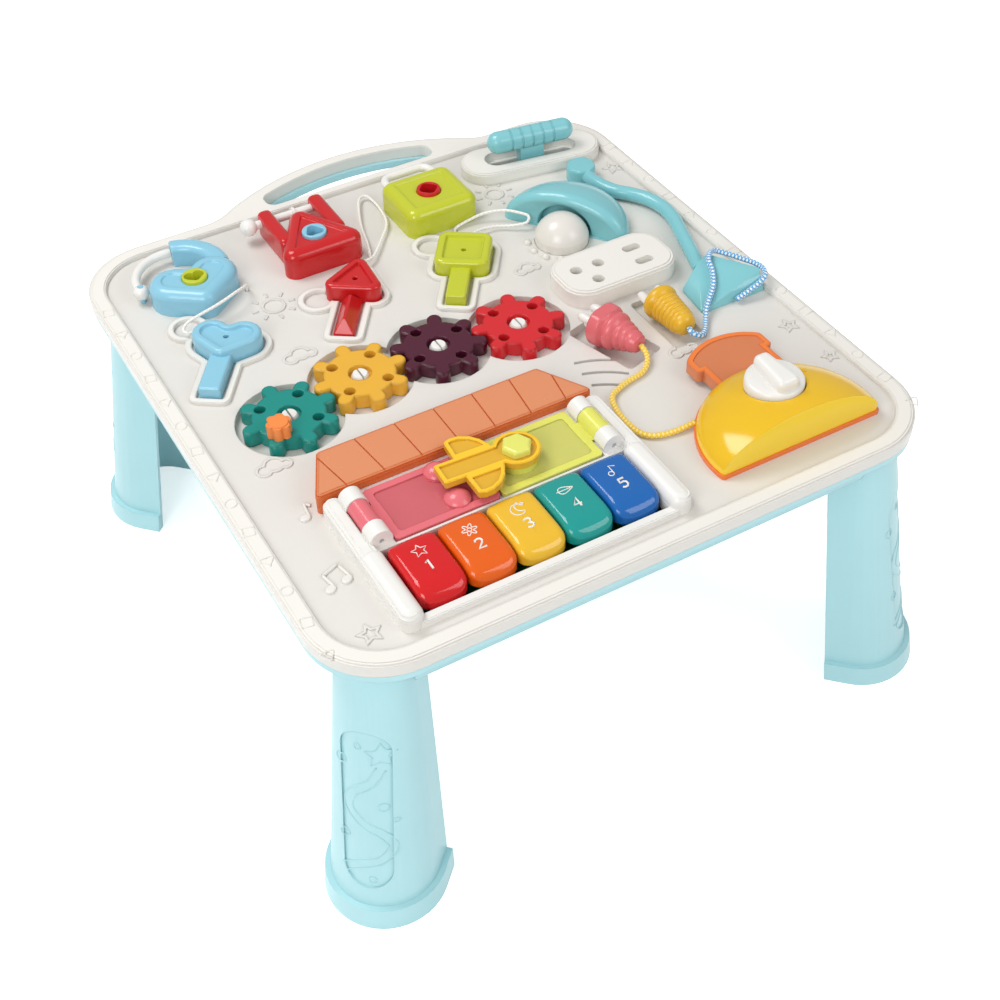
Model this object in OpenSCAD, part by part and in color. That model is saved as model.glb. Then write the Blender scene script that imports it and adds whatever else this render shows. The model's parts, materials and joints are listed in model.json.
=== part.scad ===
// Musical activity table for a small child: a moulded play panel on four legs, with shape locks and
// their keys, meshing gears, a little house with a piano, a lamp, a socket with two plugs, a slider and
// a toaster. Millimetres, +Z up. The origin is on the ground under the middle of the whole table.
// Every piece is drawn in the panel's frame: X to the right, Y to the back, Z up from the play surface.

/* [Panel] */
// Width of the play panel
panel_w = 400; // [396:2:460]
// Depth of the play panel without its handle
panel_d = 428; // [424:2:480]
// Radius of the panel's corners, seen from above
corner_r = 48; // [36:1:60]
// Height of the play surface above the ground
deck_h = 205; // [170:5:260]
// Wall thickness of the panel
deck_t = 3; // [2:0.5:4]
// Width of the raised border
rim_w = 12; // [8:1:14]
// Height of the border above the play surface
rim_h = 3; // [2:0.5:5]
// Depth of the panel's outer edge below the play surface
edge_h = 6; // [5:0.5:8]
// How far the carrying handle bulges out of the back edge
handle_out = 34; // [28:1:38]
// Half the length of the handle's bulge
handle_half = 104; // [96:1:110]
// Sideways place of the handle's middle
handle_x = 13; // [0:1:30]
// Width of the handle's bar
handle_bar = 10; // [8:1:13]

/* [Tray and legs] */
// Height of the tray's visible band
band_h = 5; // [4:0.5:8]
// Depth of the tray's pan below its band
pan_h = 20; // [18:1:30]
// How far the pan stands in from the band
pan_in = 14; // [10:1:20]
// Wall thickness of the tray
tray_t = 2.5; // [2:0.5:3.5]
// Radius of a leg at its top
leg_top_r = 22; // [18:1:26]
// Radius of a leg at its foot
leg_foot_r = 34.5; // [28:0.5:38]
// Distance of the leg's top middle from the panel's square corner, along the diagonal
leg_top_in = 51; // [48:1:60]
// The same distance at the foot
leg_foot_in = 28; // [24:1:40]
// Length of the straight flanks that run on from the leg's round back
leg_flank = 16; // [10:1:20]
// Wall thickness of a leg
leg_wall = 3; // [2:0.5:4]
// How far the lip around the foot stands out
lip_out = 3.6; // [2:0.2:5]
// Height of the lip around the foot
lip_h = 15; // [12:1:26]

/* [Gears] */
// Distance between neighbouring gear pins
gear_pitch = 55; // [54:0.5:60]
// Radius over the teeth
gear_tip_r = 31; // [30:0.5:31.5]
// Radius of the gear's body
gear_root_r = 23; // [22:0.5:23.5]
// Width of a tooth
tooth_w = 9.6; // [8:0.2:10]
// Thickness of a gear
gear_t = 9.5; // [8:0.5:11]
// Place of the first gear's pin
gear_at = [-134, -5]; // [-180:1:180]
// Radius of the pin that a gear turns on
gear_pin_r = 4.5; // [4:0.1:5]
// Radius of the circle that the four finger holes lie on
finger_ring_r = 18.5; // [17:0.5:19]
// Radius of a finger hole
finger_hole_r = 3.6; // [3:0.1:4]
// Depth of the well that the gears lie in
well_h = 5; // [4:0.5:7]
// Turn of the first gear's teeth
gear_turn = 4; // [0:1:44]

/* [House and piano] */
// Width of the house's white frame
house_w = 184; // [182:1:200]
// Place of the middle of the frame's front edge
house_at = [-61, -195]; // [-200:1:200]
// Depth of the frame
house_d = 105; // [104:1:110]
// Height of the frame behind the keys
house_h = 8; // [7:0.5:10]
// Height of the ledge in front of the keys
ledge_h = 4.5; // [3:0.5:4.5]
// Height of the rails beside the keys
rail_h = 12; // [9:0.5:12.5]
// Distance from one piano key to the next
key_pitch = 30.8; // [30:0.2:31]
// Gap between two piano keys
key_gap = 1.2; // [0.8:0.2:2]
// Length of a key's cap
key_len = 47; // [44:1:48]
// Height of a key's cap above the play surface
key_top = 12.5; // [11:0.5:13]
// Width of one door
door_w = 66.5; // [60:0.5:67]
// Depth of a door
door_d = 45; // [40:0.5:46]
// Thickness of a door
door_t = 3; // [2.5:0.5:4]
// Radius of a door's hinge barrel
barrel_r = 6.5; // [5:0.5:6.5]
// Radius of the hinge pins
hinge_pin_r = 1.5; // [1:0.25:2]
// Height of the roof
roof_h = 14; // [10:0.5:15]
// Depth of the roof
roof_d = 42; // [38:1:44]

/* [Locks and their keys] */
// Height of the heart lock
heart_h = 18; // [16:0.5:22]
// Height of the triangle and square locks
lock_h = 20; // [18:0.5:24]
// Place of the heart lock
heart_at = [-136, 139]; // [-200:1:200]
// Place of the triangle lock
triangle_at = [-48, 142]; // [-200:1:200]
// Place of the square lock
square_at = [42, 147]; // [-200:1:200]
// Radius of the turning keyhole in each lock
rotor_r = 8.5; // [7:0.5:9.5]
// Radius of the heart lock's ring
ring_r = 28.5; // [28:0.5:29]
// Radius of the white bolts
bolt_r = 3; // [2.5:0.5:3.5]
// Height of a toy key's head
toy_head_h = 13; // [10:0.5:15]
// Height of a toy key's shank
toy_shank_h = 9; // [7:0.5:10]
// Length of a toy key from the head's middle to the shank's end
toy_reach = 50; // [46:1:54]
// Turn of the toy keys on the panel
toy_turn = -35; // [-45:1:-25]

/* [Lamp, socket and slider] */
// Radius of the lamp's shade
shade_r = 46; // [42:1:48]
// Height of the lamp's shade
shade_h = 28; // [24:0.5:30]
// Radius of the lamp's push button
bulb_r = 18.5; // [16:0.5:19]
// Width of the socket block
socket_w = 84; // [80:1:90]
// Depth of the socket block
socket_d = 46; // [42:1:48]
// Height of the socket block
socket_h = 13; // [10:0.5:15]
// Place of the socket block's middle
socket_at = [110, 15]; // [-200:1:200]
// Place of the slider's middle
slider_at = [136, 167]; // [-200:1:200]
// Turn of the slider
slider_turn = -9; // [-12:1:0]
// Length of the slider's grip
grip_len = 66; // [56:1:70]
// Radius of the slider's grip
grip_r = 8; // [6:0.5:9]
// How far the slider moves each way
slider_travel = 20; // [10:1:24]

/* [Plugs and toaster] */
// Place of the three-pin plug's collar
pink_plug_at = [71, -30]; // [-200:1:200]
// Place of the two-pin plug's collar
yellow_plug_at = [116, -30]; // [-200:1:200]
// Radius of the three-pin plug's collar
pink_plug_r = 14.5; // [12:0.5:15]
// Radius of the two-pin plug's collar
yellow_plug_r = 12; // [10:0.5:13]
// Place of the middle of the toaster's front edge
toaster_at = [115, -184]; // [-200:1:200]
// Width of the toaster
toaster_w = 114; // [110:1:120]
// Depth of the toaster
toaster_d = 68; // [64:1:70]
// Height of the toaster's cover at its top
toaster_top_h = 28; // [26:1:32]
// Width of the slice of toast
toast_w = 56; // [48:1:58]
// How far the toast slides in
toast_travel = 18; // [10:1:20]
// Radius of the toaster's dial
dial_r = 18; // [15:0.5:19]

/* [Fits] */
// Radial clearance of a part that turns on a pin
turn_gap = 0.08; // [0.05:0.01:0.1]
// Clearance beside a part that slides or lifts
slide_gap = 0.3; // [0.2:0.1:0.5]
// Radius of the toy keys' white cords
tether_r = 1; // [0.8:0.1:1.2]
// Radius of the plugs' ropes
rope_r = 1.8; // [1.5:0.1:2.2]

/* [Hidden] */
$fn = 48;

plate_beige = "#dedad5";
frame_white = "#f2f0ec";
pale_teal = "#a9d6da";
toy_red = "#d2232a";
toy_orange = "#e8792f";
toy_yellow = "#f0bd3a";
deep_teal = "#16968f";
deep_blue = "#1d6fb0";
plum = "#4a1c34";
lime = "#bcc832";
sky_blue = "#8cc7df";
rose = "#dc5a68";
aqua = "#86c6cd";
leaf_green = "#c9cf5a";
metal_grey = "#b4b7ba";
board_green = "#2f7d4a";
dark_grey = "#3a3a3c";

// Heights in the panel's frame.
edge_z = -edge_h;
band_z = edge_z - band_h;
pan_z = band_z - pan_h;
ground_z = -deck_h;
well_z = -well_h;

// Reach of the table's feet and handle, which sets where the origin lies.
foot_drop = leg_foot_in / sqrt(2);
foot_reach_y = panel_d / 2 - foot_drop + leg_foot_r + lip_out;
back_reach = max(foot_reach_y, panel_d / 2 + handle_out);
front_reach = max(foot_reach_y, panel_d / 2);
shift_y = (front_reach - back_reach) / 2;

// The handle's bulge is an arc through both its ends.
handle_r = (handle_half * handle_half + handle_out * handle_out) / (2 * handle_out);
handle_y = panel_d / 2 + handle_out - handle_r;
bulge_fillet = 30;

module at_deck() {
    translate([0, shift_y, deck_h]) children();
}

function unit(v) = v / norm(v);
function polar(r, a) = [r * cos(a), r * sin(a)];

module round_rect(w, d, r) {
    offset(r) square([w - 2 * r, d - 2 * r], center = true);
}

module stadium(len, r) {
    square([len - 2 * r, 2 * r], center = true);
    for (s = [-1, 1])
        translate([s * (len / 2 - r), 0]) circle(r);
}

// A prism of the child outline whose upper edge is rounded in two or three steps.
module soft_prism(h, f) {
    steps = f < 1.5 ? 2 : 3;
    linear_extrude(h - f) children();
    for (i = [1:steps]) {
        a = 90 * i / steps;
        b = 90 * (i - 1) / steps;
        translate([0, 0, h - f + f * sin(b) - 0.01])
            linear_extrude(f * (sin(a) - sin(b)) + 0.01)
                offset(delta = -f * (1 - cos((a + b) / 2))) children();
    }
}

// ---- Panel, tray and legs ----

module table_outline(inset) {
    offset(r = -bulge_fillet - inset) offset(r = bulge_fillet) {
        round_rect(panel_w, panel_d, corner_r);
        intersection() {
            translate([handle_x, handle_y]) circle(handle_r, $fn = 180);
            translate([handle_x - handle_half, 0]) square([2 * handle_half, panel_d]);
        }
    }
}

slot_front_y = panel_d / 2 - 4.5;
slot_round = 7;

module handle_slot(grow) {
    offset(r = slot_round + grow) offset(delta = -slot_round)
        intersection() {
            translate([handle_x, handle_y]) circle(handle_r - handle_bar, $fn = 180);
            translate([handle_x - handle_half * 0.64, slot_front_y]) square([handle_half * 1.28, panel_d]);
        }
}

module border_inner(inset) {
    round_rect(panel_w - 2 * rim_w - 2 * inset, panel_d - 2 * rim_w - 2 * inset, corner_r - rim_w - inset);
}

gear_angles = [13, 0, -7];
gear_2 = gear_at + polar(gear_pitch, gear_angles[0]);
gear_3 = gear_2 + polar(gear_pitch, gear_angles[1]);
gear_4 = gear_3 + polar(gear_pitch, gear_angles[2]);
gear_places = [gear_at, gear_2, gear_3, gear_4];
tooth_n = 8;
tooth_step = 360 / tooth_n;
// Each gear's teeth lie in the gaps of the one before it.
turn_2 = tooth_step / 2 + 2 * gear_angles[0] - gear_turn;
turn_3 = tooth_step / 2 + 2 * gear_angles[1] - turn_2;
turn_4 = tooth_step / 2 + 2 * gear_angles[2] - turn_3;
gear_turns = [gear_turn, turn_2, turn_3, turn_4];
gear_float = 0.5;
well_margin = 2.5;

module gear_well(grow) {
    for (p = gear_places)
        translate(p) circle(gear_tip_r + well_margin + grow);
}

// House layout.
house_x = house_at[0];
house_front = house_at[1];
house_back = house_front + house_d;
key_n = 5;
keys_w = key_n * key_pitch;
key_front = house_front + 7.5;
key_back = key_front + key_len;
key_side = 0.8;
key_axis_y = key_back + 9;
key_axis_z = -4.5;
rail_w = 2.5;
door_front = key_back + rail_w;
door_back = door_front + door_d;
door_seam = 0.7;
door_z = house_h - 1.5;
hinge_off = door_seam + door_w + barrel_r + 1.5;
hinge_z = house_h + 3;
knuckle_r = 7;
rail_r = (house_w - keys_w) / 4 - 1.2;
knuckle_len = 11;
knuckle_front = door_front + 2;
knuckle_back = door_back - knuckle_len - 1.5;

module key_window(grow) {
    translate([house_x - keys_w / 2 - key_side - grow, key_front - 1.6 - grow])
        square([keys_w + 2 * key_side + 2 * grow, key_len + 2.4 + grow]);
}

// Layout of the toy keys.
toy_keys = [[-140, 78], [-43, 91], [34, 82]];
finger_wells = [[-155, 109], [-70, 93], [22, 108]];
finger_well_r = 9;
heart_head_w = 45;
triangle_head_w = 46;
square_head_w = 37;
shank_w = 15;

// Two circles with the straight lines that touch both.
function touch_points(a, ra, b, rb, s) =
    let (d = b - a, base = atan2(d[1], d[0]), turn = acos((ra - rb) / norm(d)))
    [a + polar(ra, base + s * turn), b + polar(rb, base + s * turn)];

module strap(a, ra, b, rb) {
    left = touch_points(a, ra, b, rb, 1);
    right = touch_points(a, ra, b, rb, -1);
    translate(a) circle(ra);
    translate(b) circle(rb);
    polygon([left[0], left[1], right[1], right[0]]);
}

module heart_outline(w) {
    $fn = 32;
    lobe = 0.27 * w;
    tip = 0.14 * w;
    offset(r = -0.06 * w) offset(r = 0.06 * w)
        for (s = [-1, 1])
            strap([s * (w / 2 - lobe), 0.06 * w], lobe, [0, -0.28 * w], tip);
}

module triangle_outline(w, r) {
    offset(r) offset(delta = -r)
        polygon([[-w / 2, -0.29 * w], [w / 2, -0.29 * w], [0, 0.58 * w]]);
}

module shank_outline() {
    translate([-shank_w / 2, -toy_reach]) square([shank_w, toy_reach]);
}

module toy_outline(kind) {
    if (kind == 0) heart_outline(heart_head_w);
    if (kind == 1) triangle_outline(triangle_head_w, 6);
    if (kind == 2) round_rect(square_head_w, square_head_w, 7);
    shank_outline();
}

toy_rim_w = 4.5;
toy_rim_h = 2.6;
toy_rim_gap = 1.2;

module toy_rim(kind) {
    $fn = 24;
    difference() {
        union() {
            translate(toy_keys[kind]) rotate(toy_turn)
                offset(r = toy_rim_gap + toy_rim_w) toy_outline(kind);
            translate(finger_wells[kind]) circle(finger_well_r + toy_rim_w);
        }
        translate(toy_keys[kind]) rotate(toy_turn) offset(r = toy_rim_gap) toy_outline(kind);
        translate(finger_wells[kind]) circle(finger_well_r);
    }
}

// Slider block and its slot.
slider_block_len = 106;
slider_block_r = 19;
slider_block_h = 9;
slider_slot_r = 5.5;
slider_pocket_r = 9;
slider_floor = 2.5;
stem_len = 18;
stem_w = 9;
slider_slot_len = stem_len + 2 * slider_travel + 2 * slider_slot_r - 3;

// Socket holes: three round ones to the left, two oval ones to the right.
round_holes = [[-26, 4], [-9, 4], [-18, -11]];
oval_holes = [[19, 7], [19, -9]];
round_hole_r = 4;
oval_hole_len = 13;
oval_hole_r = 3.2;

// Bulb, with its bore through the panel.
bulb_at = [104, 70];
bulb_flange = 1.5;

// Plug beds are moulded hollows with a little room around each plug.
plug_axis_z = 8;
plug_len = 34;
bed_gap = 0.4;
pink_turn = 16;

// Sound slots of the speaker.
speaker_at = [53, -66];
speaker_turn = -30;
slot_rows = [[38, 12], [29, 0], [18, -12]];
sound_slot_w = 2.2;
sound_arc_r = 60;

module sound_slots() {
    translate(speaker_at) rotate(speaker_turn)
        for (row = slot_rows)
            translate([0, row[1] - sound_arc_r])
                intersection() {
                    difference() {
                        circle(sound_arc_r + sound_slot_w / 2, $fn = 120);
                        circle(sound_arc_r - sound_slot_w / 2, $fn = 120);
                    }
                    translate([-row[0] / 2, 0]) square([row[0], 2 * sound_arc_r]);
                }
}

// Low reliefs moulded on the panel: stars, suns, clouds and notes.
relief_h = 0.8;
relief_w = 1.6;

module star_line(r) {
    points = [for (i = [0:9]) polar(i % 2 == 0 ? r : 0.5 * r, 90 + 36 * i)];
    difference() {
        polygon(points);
        offset(delta = -relief_w) polygon(points);
    }
}

module sun_line(r) {
    difference() {
        circle(r);
        circle(r - relief_w);
    }
    for (a = [0:45:359])
        rotate(a) translate([r + 3, -relief_w / 2]) square([4, relief_w]);
}

module cloud_shape(w) {
    translate([-0.25 * w, 0]) circle(0.22 * w);
    translate([0.05 * w, 0.1 * w]) circle(0.28 * w);
    translate([0.32 * w, 0]) circle(0.18 * w);
}

module cloud_line(w) {
    difference() {
        cloud_shape(w);
        offset(delta = -relief_w) cloud_shape(w);
    }
}

module panel_reliefs() {
    $fn = 20;
    translate([-97, 104]) sun_line(8);
    translate([92, 143]) sun_line(7);
    translate([183, 128]) star_line(8);
    translate([-104, 47]) cloud_line(24);
    translate([-160, -40]) cloud_line(24);
    translate([66, 52]) cloud_line(20);
    translate([-168, -184]) star_line(8);
    translate([106, -74]) cloud_line(22);
    translate([178, -88]) star_line(7);
    translate([181, -126]) star_line(6);
}

tether_room = 0.5;
tether_holes = [[-105, 130], [-18, 120], [47, 118]];
screw_inset = 26;
screw_places = [
    for (x = [-1, 1], y = [-1, 1])
        [x * (panel_w / 2 - pan_in - screw_inset), y * (panel_d / 2 - pan_in - 3 * screw_inset)]
];
boss_r = 4.5;
screw_r = 1.5;

module top_panel() {
    color(plate_beige) at_deck() difference() {
        union() {
            translate([0, 0, -deck_t]) linear_extrude(deck_t) table_outline(rim_w / 2);
            translate([0, 0, edge_z]) linear_extrude(edge_h + rim_h - 1.2) difference() {
                table_outline(0);
                border_inner(0);
            }
            translate([0, 0, rim_h - 1.2]) linear_extrude(0.8) difference() {
                table_outline(1.2);
                border_inner(-0.6);
            }
            translate([0, 0, rim_h - 0.4]) linear_extrude(0.4) difference() {
                table_outline(2.6);
                border_inner(-1.6);
            }
            translate([0, 0, well_z - deck_t]) linear_extrude(well_h + deck_t - 0.5) gear_well(deck_t);
            for (kind = [0:2])
                soft_prism(toy_rim_h, 1) toy_rim(kind);
            translate([slider_at[0], slider_at[1], 0]) rotate(slider_turn)
                soft_prism(slider_block_h, 3) stadium(slider_block_len, slider_block_r);
            translate([socket_at[0], socket_at[1], 0])
                soft_prism(socket_h, 4) round_rect(socket_w, socket_d, 17);
            linear_extrude(relief_h) panel_reliefs();
            plug_bed(pink_plug_at, pink_plug_r, pink_turn, deck_t);
            plug_bed(yellow_plug_at, yellow_plug_r, 0, deck_t);
            for (s = [-1, 1])
                translate([house_x + s * (axle_len / 2 - 3) - 3, key_axis_y - 5, key_axis_z - 5])
                    cube([6, 10, 8]);
            for (p = screw_places)
                translate([p[0], p[1], pan_z + tray_t]) cylinder(r = boss_r, h = -pan_z - tray_t - 1);
        }
        translate([0, 0, edge_z - 1]) linear_extrude(edge_h + rim_h + 2) handle_slot(0);
        translate([0, 0, well_z]) linear_extrude(well_h + 1) gear_well(0);
        translate([0, 0, -deck_t - 1]) linear_extrude(deck_t + 2) key_window(0);
        translate([0, 0, -deck_t - 1]) linear_extrude(deck_t + 2)
            translate([house_x - keys_w / 2 - key_side, key_back - 2])
                square([keys_w + 2 * key_side, key_axis_y - key_back + 8]);
        translate([house_x, key_axis_y, key_axis_z]) rotate([0, 90, 0])
            cylinder(r = axle_r, h = axle_len, center = true);
        translate([slider_at[0], slider_at[1], -deck_t - 1]) rotate(slider_turn)
            linear_extrude(slider_block_h + deck_t + 2) stadium(slider_slot_len, slider_slot_r);
        translate([slider_at[0], slider_at[1], slider_floor]) rotate(slider_turn)
            linear_extrude(slider_block_h) stadium(slider_slot_len + 4, slider_pocket_r);
        for (p = round_holes)
            translate([socket_at[0] + p[0], socket_at[1] + p[1], 1]) cylinder(r = round_hole_r, h = socket_h);
        for (p = oval_holes)
            translate([socket_at[0] + p[0], socket_at[1] + p[1], 1])
                linear_extrude(socket_h) stadium(oval_hole_len, oval_hole_r);
        translate([bulb_at[0], bulb_at[1], -deck_t - 1])
            cylinder(r = bulb_r + slide_gap, h = deck_t + 2);
        plug_bed(pink_plug_at, pink_plug_r, pink_turn, 0);
        plug_bed(yellow_plug_at, yellow_plug_r, 0, 0);
        translate([0, 0, -deck_t - 1]) linear_extrude(deck_t + 2) sound_slots();
        for (p = tether_holes)
            translate([p[0], p[1], -deck_t - 1]) cylinder(r = tether_r + tether_room, h = deck_t + 4);
        for (p = screw_places)
            translate([p[0], p[1], pan_z]) cylinder(r = screw_r + turn_gap, h = 14);
        for (p = gear_places)
            translate([p[0], p[1], well_z - deck_t - 1]) cylinder(r = pin_stub_r, h = deck_t + 2);
    }
}

pin_stub_r = 3;

// The bed under a plug, as a block (grow > 0) or as the hollow in it.
module plug_bed(at, r, turn, grow) {
    $fn = 24;
    depth = r + bed_gap - plug_axis_z;
    w = 2 * (r + bed_gap);
    translate([at[0], at[1], -depth - grow]) rotate(turn) translate([0, 4 - plug_len / 2, 0])
        linear_extrude(depth + (grow > 0 ? grow - 0.5 : 20))
            offset(r = grow + 3) square([w - 6, plug_len + 14], center = true);
}

module pan_outline(inset) {
    in = pan_in + inset;
    room = 2 + inset;
    difference() {
        round_rect(panel_w - 2 * in, panel_d - 2 * in, corner_r - in + 4);
        for (sx = [-1, 1], sy = [-1, 1])
            translate([sx * panel_w / 2, sy * panel_d / 2]) rotate(atan2(sy, sx)) {
                translate([-leg_top_in, 0]) circle(leg_top_r + room);
                translate([-leg_top_in - leg_flank - room, -leg_top_r - room])
                    square([leg_top_in + leg_flank, 2 * (leg_top_r + room)]);
            }
    }
}

battery_at = [0, 60];
battery_bay = [66, 58];
cover_t = 2;

module under_tray() {
    color(pale_teal) at_deck() {
        tray_shell();
        difference() {
            translate([battery_at[0], battery_at[1], pan_z + tray_t - 0.01])
                linear_extrude(15) square(battery_bay + [4, 4], center = true);
            translate([battery_at[0], battery_at[1], pan_z])
                linear_extrude(30) square(battery_bay, center = true);
        }
        for (p = board_posts)
            translate([p[0], p[1], pan_z + tray_t - 0.01])
                cylinder(r = 4, h = board_z - pan_z - tray_t - 0.01);
    }
}

module tray_shell() {
    difference() {
        union() {
            translate([0, 0, band_z]) linear_extrude(band_h) table_outline(0.6);
            translate([0, 0, pan_z]) linear_extrude(pan_h + 1) pan_outline(0);
        }
        translate([0, 0, band_z + tray_t]) linear_extrude(band_h) difference() {
            table_outline(0.6 + tray_t);
            handle_slot(tray_t);
        }
        translate([0, 0, pan_z + tray_t]) linear_extrude(pan_h + band_h) pan_outline(tray_t);
        translate([0, 0, band_z - 1]) linear_extrude(band_h + 2) handle_slot(-3);
        for (p = screw_places)
            translate([p[0], p[1], pan_z - 1]) cylinder(r = screw_r + 0.4, h = tray_t + 2);
        translate([battery_at[0], battery_at[1], pan_z - 1])
            linear_extrude(tray_t + 2) square(battery_bay, center = true);
        translate([switch_at[0], switch_at[1], pan_z - 1])
            linear_extrude(tray_t + 2) square([switch_slot_len, switch_slot_w], center = true);
    }
}

switch_at = [70, 60];
switch_slot_len = 18;
switch_slot_w = 7;
board_posts = [for (x = [-62, 62], y = [4, 36]) [house_x + x, key_front + y]];

// One leg: a half cone, open to the middle of the table, that leans out towards its foot.
leg_top_z = band_z;

module leg_section(r, z, flank) {
    translate([0, 0, z]) linear_extrude(0.1) {
        intersection() {
            circle(r);
            translate([0, -r]) square(2 * r);
        }
        translate([-flank, -r]) square([flank, 2 * r]);
    }
}

module leg_solid(shrink, z0, z1) {
    span = leg_top_z - ground_z;
    function radius(z) = leg_top_r + (leg_foot_r - leg_top_r) * (leg_top_z - z) / span - shrink;
    function middle(z) = -leg_top_in + (leg_top_in - leg_foot_in) * (leg_top_z - z) / span;
    flank = shrink > leg_wall - 0.1 ? leg_flank + 12 : leg_flank;
    hull() {
        translate([middle(z1), 0, 0]) leg_section(radius(z1), z1 - 0.1, flank);
        translate([middle(z0), 0, 0]) leg_section(radius(z0), z0, flank);
    }
}

relief_depth = 1.2;
relief_top = 45;
relief_bottom = 165;

module leg_relief_window() {
    translate([0, 0, leg_top_z - (relief_top + relief_bottom) / 2])
        rotate([0, 90, 0]) translate([0, 0, -35]) linear_extrude(95)
            stadium(relief_bottom - relief_top, 15);
}

module leg(sx, sy) {
    color(pale_teal) at_deck()
        translate([sx * panel_w / 2, sy * panel_d / 2, 0]) rotate(atan2(sy, sx))
            difference() {
                union() {
                    leg_solid(0, ground_z, leg_top_z);
                    leg_solid(-lip_out, ground_z, ground_z + lip_h);
                }
                leg_solid(leg_wall, ground_z - 1, leg_top_z - leg_wall);
                intersection() {
                    leg_relief_window();
                    difference() {
                        leg_solid(-1, ground_z + lip_h + 5, leg_top_z - 10);
                        leg_solid(relief_depth, ground_z + lip_h + 4, leg_top_z - 9);
                    }
                }
            }
}

module leg_front_left() leg(-1, -1);
module leg_front_right() leg(1, -1);
module leg_rear_left() leg(-1, 1);
module leg_rear_right() leg(1, 1);

module case_screws() {
    color(metal_grey) at_deck() {
        for (p = screw_places)
            translate([p[0], p[1], pan_z - 1.6]) {
                cylinder(r = 3.2, h = 1.6);
                cylinder(r = screw_r, h = 12);
            }
    }
}

// ---- Parts inside the case ----

board_z = -16;
board_t = 1.5;
pad_h = 1.6;
axle_r = 2;
axle_len = keys_w + 2 * key_side + 14;

module circuit_board() {
    color(board_green) at_deck()
        translate([house_x - 67, key_front + 1, board_z]) cube([134, 40, board_t]);
}

module contact_pads() {
    color(dark_grey) at_deck()
        for (i = [0:key_n - 1])
            translate([key_x(i + 1), key_front + 9, board_z + board_t]) cylinder(r1 = 4, r2 = 3, h = pad_h);
}

module speaker() {
    color(dark_grey) at_deck() translate([speaker_at[0], speaker_at[1], pan_z + tray_t]) {
        cylinder(r = 13, h = 8);
        translate([0, 0, 8]) cylinder(r1 = 13, r2 = 22, h = 6);
        translate([0, 0, 14]) cylinder(r = 22, h = 2);
    }
}

cell_r = 7;
cell_len = 50;

module battery_cells() {
    color(metal_grey) at_deck()
        for (i = [-1:1])
            translate([battery_at[0] + i * 20, battery_at[1] - cell_len / 2, pan_z + cover_t + cell_r + 0.2])
                rotate([-90, 0, 0]) {
                    cylinder(r = cell_r, h = cell_len - 2);
                    translate([0, 0, cell_len - 2]) cylinder(r = 2.5, h = 2);
                }
}

module battery_cover() {
    color(pale_teal) at_deck()
        translate([battery_at[0], battery_at[1], pan_z]) {
            linear_extrude(cover_t) square(battery_bay - [0.6, 0.6], center = true);
            for (i = [-1:1])
                translate([i * 20, 0, cover_t - 0.01]) difference() {
                    translate([-6, -20, 0]) cube([12, 40, 3]);
                    translate([0, -21, cell_r + 0.2]) rotate([-90, 0, 0]) cylinder(r = cell_r, h = 42);
                }
        }
}

module power_switch() {
    color(dark_grey) at_deck() translate([switch_at[0] - 3, switch_at[1], 0]) {
        translate([-4, -switch_slot_w / 2 + slide_gap, pan_z - 2])
            cube([8, switch_slot_w - 2 * slide_gap, tray_t + 3]);
        translate([-12, -6, pan_z + tray_t + 0.1]) cube([24, 12, 2]);
    }
}

// ---- House and piano ----

function key_x(i) = house_x + (i - (key_n + 1) / 2) * key_pitch;
key_low = 5;
hub_r = 4;

module house_frame() {
    color(frame_white) at_deck() difference() {
        union() {
            translate([house_x, (house_front + house_back) / 2, 0]) {
                soft_prism(ledge_h, 2) round_rect(house_w, house_d, 14);
                for (s = [-1, 1])
                    translate([s * (house_w / 2 - rail_r), 0, 0])
                        soft_prism(rail_h, 5) round_rect(2 * rail_r, house_d, rail_r - 0.2);
            }
            translate([house_x - house_w / 2 + rail_r, key_back + key_side, 0])
                cube([house_w - 2 * rail_r, house_back - key_back - key_side, house_h]);
            for (s = [-1, 1], y = [knuckle_front, knuckle_back])
                translate([house_x + s * hinge_off, y, hinge_z]) rotate([-90, 0, 0])
                    cylinder(r = knuckle_r, h = knuckle_len);
        }
        translate([0, 0, -1]) linear_extrude(house_h + 8) key_window(0);
        translate([house_x - door_w - door_seam - 0.6, door_front, door_z - 0.3])
            cube([2 * (door_w + door_seam + 0.6), door_d, 20]);
        for (s = [-1, 1])
            translate([house_x + s * hinge_off, 0, hinge_z]) {
                translate([-barrel_r - 0.7, knuckle_front + knuckle_len, -barrel_r - 0.5])
                    cube([2 * barrel_r + 1.4, knuckle_back - knuckle_front - knuckle_len, 30]);
                translate([s > 0 ? -hinge_off + door_w : 0, knuckle_front + knuckle_len, -barrel_r - 0.5])
                    cube([hinge_off - door_w, knuckle_back - knuckle_front - knuckle_len, 30]);
                translate([0, knuckle_front - 1, 0]) rotate([-90, 0, 0])
                    cylinder(r = hinge_pin_r, h = knuckle_back + knuckle_len - knuckle_front + 2);
            }
    }
}

module key_profile() {
    roll = 20;
    drop = key_top - key_low - 1.5;
    arc = [for (a = [0:10:90]) [key_front + roll - roll * sin(a), key_top - drop * (1 - cos(a))]];
    polygon(concat([[key_back, key_low], [key_back, key_top]], arc, [[key_front, key_low]]));
}

module key_plan() {
    w = key_pitch - key_gap;
    intersection() {
        translate([-w / 2, key_front]) square([w, key_len]);
        translate([0, key_front + 62]) circle(62, $fn = 90);
    }
}

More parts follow.
